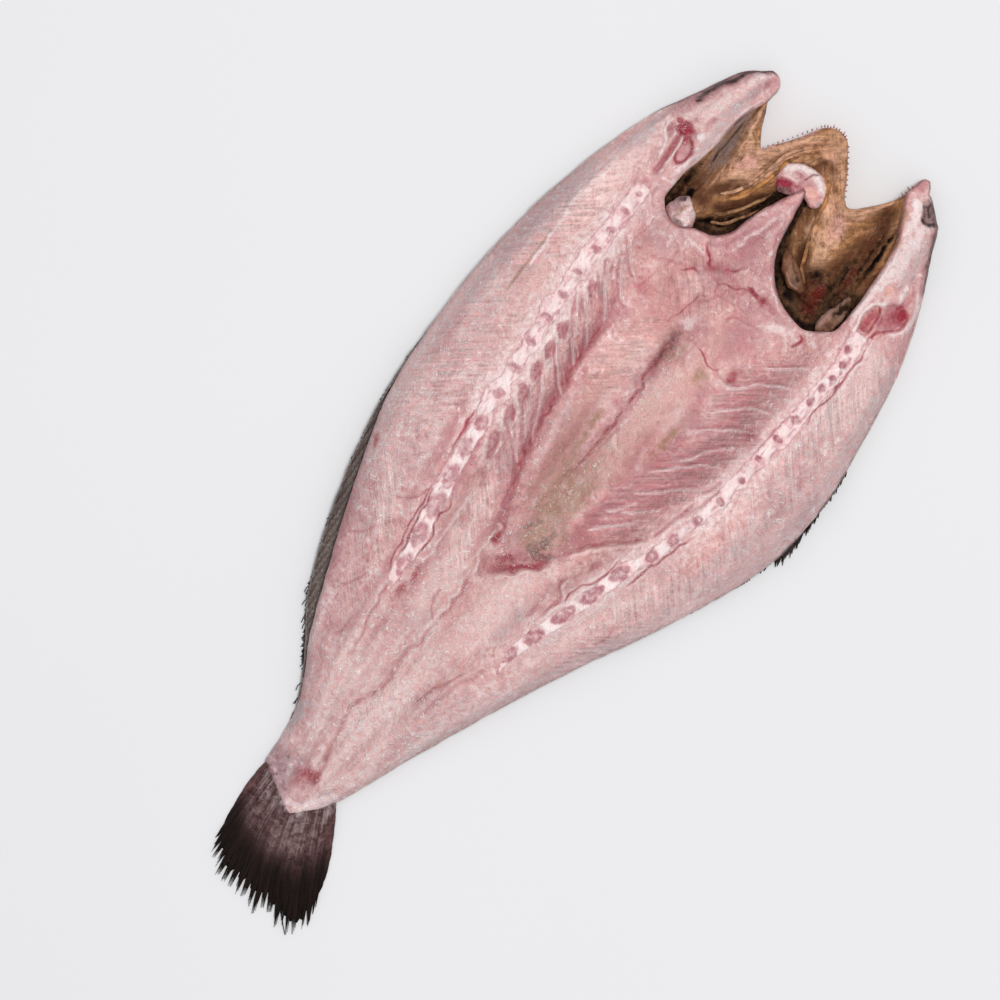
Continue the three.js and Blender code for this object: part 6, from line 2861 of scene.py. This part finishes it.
@dataclass
class UndersideFins:
    """The breast, belly and vent fins, pressed flat under the fish.

    Attributes:
        level: Height that they lie at.
        fans: The fins.
    """

    level: float = 0.24
    fans: tuple[Fan, ...] = (
        Fan(((149, 38), (146, 50)), (186, 164), (38, 62, 50), 15),
        Fan(((144, -49), (147, -64)), (196, 174), (50, 62, 38), 15),
        Fan(((129, 8), (128, 14)), (184, 168), (46, 44, 26), 6),
        Fan(((126, -13), (127, -7)), (194, 178), (26, 44, 46), 6),
        Fan(((-60, 4), (-96, 8)), (214, 196), (30, 34, 16), 9),
    )

    def build(self, chart: Chart) -> Piece:
        """Makes the piece.

        Args:
            chart: Places the drawing in the frame.

        Returns:
            The object.
        """
        made = Strands(sides=6)
        for fan in self.fans:
            fan.lay(made, self.level)
        return made.build("underside_fins", chart)


@dataclass
class Eyes:
    """The two eyes on the outer sides of the head halves.

    Attributes:
        spots: Their middles.
        radius: Half their width.
        thick: Half their thickness.
        level: Height of their middles.
    """

    spots: tuple[Point, Point] = ((221, 51), (222, -72))
    radius: float = 6.6
    thick: float = 0.45
    level: float = 0.62

    def build(self, chart: Chart) -> Piece:
        """Makes the piece.

        Args:
            chart: Places the drawing in the frame.

        Returns:
            The object.
        """
        bm = bmesh.new()
        size = Matrix.Diagonal((self.radius, self.radius, self.thick, 1))
        for x, y in self.spots:
            place = Matrix.Translation((x, y, self.level)) @ size
            bmesh.ops.create_uvsphere(bm, u_segments=32, v_segments=16, radius=1, matrix=place)
        mesh = mesh_from("eyes", bm)
        co = coordinates(mesh)
        away = np.min([np.hypot(co[:, 0] - x, co[:, 1] - y) for x, y in self.spots], axis=0) / self.radius
        masks = Masks(len(co))
        masks.lay(PALE, smooth(away, 0.9, 0.7))
        masks.lay(DARK, smooth(away, 0.55, 0.45))
        write_masks(mesh, masks)
        return settle(mesh, co, chart)


@dataclass(kw_only=True)
class Skin(Sheet):
    """The scaled skin that the fish lies on, with its rim showing round the cut side.

    Attributes:
        thick: Its thickness.
        lap: How high its rim climbs round the flesh.
    """

    name: str = "skin"
    pitch: float = 1.5
    steps: int = 2
    tuck: float = -0.1
    thick: float = 0.9
    lap: float = 2.2

    def outline(self) -> Array:
        """Its plan: the whole fish without the tail fin.

        Returns:
            Its corners, in order.
        """
        right = sides(-207, 239, right_edge)
        tip = curve(RIGHT_SKULL_TIP)[:34]
        lips = curve(MOUTH_FRONT)[::-1]
        nose = curve(LEFT_SKULL_INNER)[:26][::-1]
        left = sides(258, -212, left_edge)
        tail = curve(FLESH_TAIL)
        return uneven(np.vstack([right, tip, lips, nose, left, tail[1:-1]]), 9.0, 0.5, 3)

    def height(self, x: Array, y: Array, away: Array) -> Array:
        """Height of its outer side, which lies on the ground."""
        z = skin_level(x, y) + 0.4 * smooth(away, 6, 20) + 0.6 * smooth(x, -198, -214)
        return raise_by(SKIN_FEATURES, x, y, z + 0.1 * ripple(x, y, 5.0, 81, 2))

    def foot(self, x: Array, y: Array, away: Array) -> Array:
        """Height of its rim's top."""
        return self.height(x, y, away) + self.lap * fullness(x)

    def tint(self, x: Array, y: Array, away: Array, masks: Masks) -> None:
        """Lays its tints, darker along the back and silver on the belly.

        Args:
            x: First coordinates.
            y: Second coordinates.
            away: Distances to the outline.
            masks: Takes the tints.
        """
        masks.lay(DARK, 0.9 * (1 - smooth(away, 10, 45)))
        masks.lay(PALE, 0.9 * smooth(away, 30, 75) * (0.8 + 0.3 * ripple(x, y, 16.0, 86, 3)))
        masks.lay(FROST, smooth(x + 9 * ripple(x, y, 30.0, 87, 2), 146, 156))
        left, right = smooth(x, -182, -172) * smooth(x, 40, 20), smooth(x, 32, 44) * smooth(x, 108, 96)
        strip = left * (y > 0) + right * (y < 0)
        masks.lay(ROSE, (1 - smooth(away, 1.0, 3.0)) * (1 - strip) * smooth(x, 214, 196))
        tint_with(SKIN_FEATURES, x, y, masks)

    def build(self, chart: Chart) -> Piece:
        """Makes the piece.

        Args:
            chart: Places the drawing in the frame.

        Returns:
            The object.
        """
        piece = self.cut(self.name, chart, self.outline(), closed=False)
        shell = piece.modifiers.new("thickness", "SOLIDIFY")
        shell.thickness = self.thick * MM
        shell.offset = 1.0
        return piece


# ---- studio


@dataclass(frozen=True)
class Studio:
    """Floor, light and camera.

    Attributes:
        target: Drawing point in the middle of the view.
        span: Width of the view where the fish lies, in millimetres.
        distance: From the floor to the lens, in metres.
        level: Height of the plane that is span wide, in metres.
        right: Direction in the frame that runs to the right of the view.
        sensor: Width of the camera's sensor, in millimetres.
        hung: Where the key light hangs, in metres.
        power: The key light's power, in watts.
        around: Strength of the pale surroundings.
        sunk: How far the floor lies under the fish, in metres.
    """

    target: Point = (-20.4, 29.4)
    span: float = 550.0
    distance: float = 2.4
    level: float = 0.009
    right: Point = (0.5707, -0.8211)
    sensor: float = 36.0
    hung: tuple[float, float, float] = (0.5, -0.25, 3.6)
    power: float = 80.0
    around: float = 0.5
    sunk: float = 0.0006

    def camera(self, chart: Chart) -> None:
        """Adds the camera, straight above the fish.

        Args:
            chart: Places the drawing in the frame.
        """
        data = bpy.data.cameras.new("camera")
        data.sensor_fit = "AUTO"
        data.sensor_width = self.sensor
        data.lens = self.sensor * (self.distance - self.level) / (self.span * MM)
        data.clip_end = 20.0
        eye = add_object("camera", data)
        right = Vector((*self.right, 0.0)).normalized()
        up = Vector((0, 0, 1)).cross(right)
        turn = Matrix((right, up, Vector((0, 0, 1)))).transposed().to_4x4()
        spot = chart.spot(*self.target)
        eye.matrix_world = Matrix.Translation((spot.x, spot.y, self.distance)) @ turn
        bpy.context.scene.camera = eye

    def lamp(self, name: str, place: tuple, size: float, power: float, colour: Colour) -> None:
        """Adds a square soft light that faces the fish.

        Args:
            name: Its name.
            place: Where it hangs, in metres.
            size: Its width.
            power: Its power in watts.
            colour: Its colour.
        """
        data = bpy.data.lights.new(name, "AREA")
        data.shape = "SQUARE"
        data.size = size
        data.energy = power
        data.color = colour
        light = add_object(name, data)
        light.location = place
        light.rotation_euler = Vector(place).to_track_quat("Z", "Y").to_euler()

    def light(self) -> None:
        """Adds the lights and the pale surroundings."""
        self.lamp("key", self.hung, 0.9, self.power, (1.0, 0.99, 0.98))
        world = bpy.data.worlds.new("surroundings")
        world.use_nodes = True
        back = world.node_tree.nodes["Background"]
        back.inputs["Color"].default_value = (0.96, 0.97, 1.0, 1.0)
        back.inputs["Strength"].default_value = self.around
        bpy.context.scene.world = world
        bpy.context.scene.view_settings.view_transform = "Standard"

    def floor(self) -> None:
        """Adds the floor."""
        bm = bmesh.new()
        bmesh.ops.create_grid(bm, x_segments=8, y_segments=8, size=4.0)
        bmesh.ops.translate(bm, verts=bm.verts, vec=(0, 0, -self.sunk))
        ground = add_object("floor", mesh_from("floor", bm))
        ground.data.materials.append(PlainFloor().build())


# ---- assembly


def dress(piece: Piece, material: bpy.types.Material, slot: str) -> None:
    """Gives a piece its material and its place on the fish.

    Args:
        piece: The piece.
        material: Its material.
        slot: Not used.
    """
    piece.data.materials.append(material)
    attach(piece, BODY)
    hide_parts(NODE)
    piece.data.calc_loop_triangles()
    log.info("%s: %d triangles", piece.name, len(piece.data.loop_triangles))


def main() -> None:
    """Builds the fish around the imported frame."""
    logging.basicConfig(level=logging.INFO, format="%(name)s: %(message)s", stream=sys.stdout)
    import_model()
    chart = Chart(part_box(NODE)[0])
    studio = Studio()
    studio.camera(chart)
    studio.light()
    studio.floor()

    flesh_paint, bone_paint, lining_paint = FLESH.build(), CUT_BONE.build(), LINING.build()
    skin_paint, fin_paint = SKIN.build(), FIN.build()
    flesh = Flesh()
    for sheet in flesh.build_halves(chart):
        dress(sheet, flesh_paint, "flesh")
    for half in Half:
        dress(Skull(name=f"skull_{half.value}", half=half, flesh=flesh).build(chart), flesh_paint, "flesh")
        dress(Backbone(name=f"backbone_{half.value}", half=half).build(chart), bone_paint, "bone")
    dress(Ribs(flesh).build(chart), bone_paint, "bone")
    dress(MouthLining().build(chart), lining_paint, "mouth_lining")
    dress(GillArches().build(chart), lining_paint, "mouth_lining")
    for cushion in (TONGUE, WHITE_LUMP, GILL_LEAF, GILL_FLAP):
        paint, slot = (lining_paint, "mouth_lining") if cushion.lining else (flesh_paint, "flesh")
        dress(cushion.build(chart), paint, slot)
    dress(Teeth().build(chart), bone_paint, "bone")
    fin = TailFin()
    dress(fin.build(chart), fin_paint, "fin")
    dress(fin.build_rays(chart), fin_paint, "fin")
    dress(EdgeRemains().build(chart), fin_paint, "fin")
    dress(Skin().build(chart), skin_paint, "skin")
    dress(Eyes().build(chart), EYE.build(), "skin")
    dress(UndersideFins().build(chart), fin_paint, "fin")


if __name__ == "__main__":
    main()
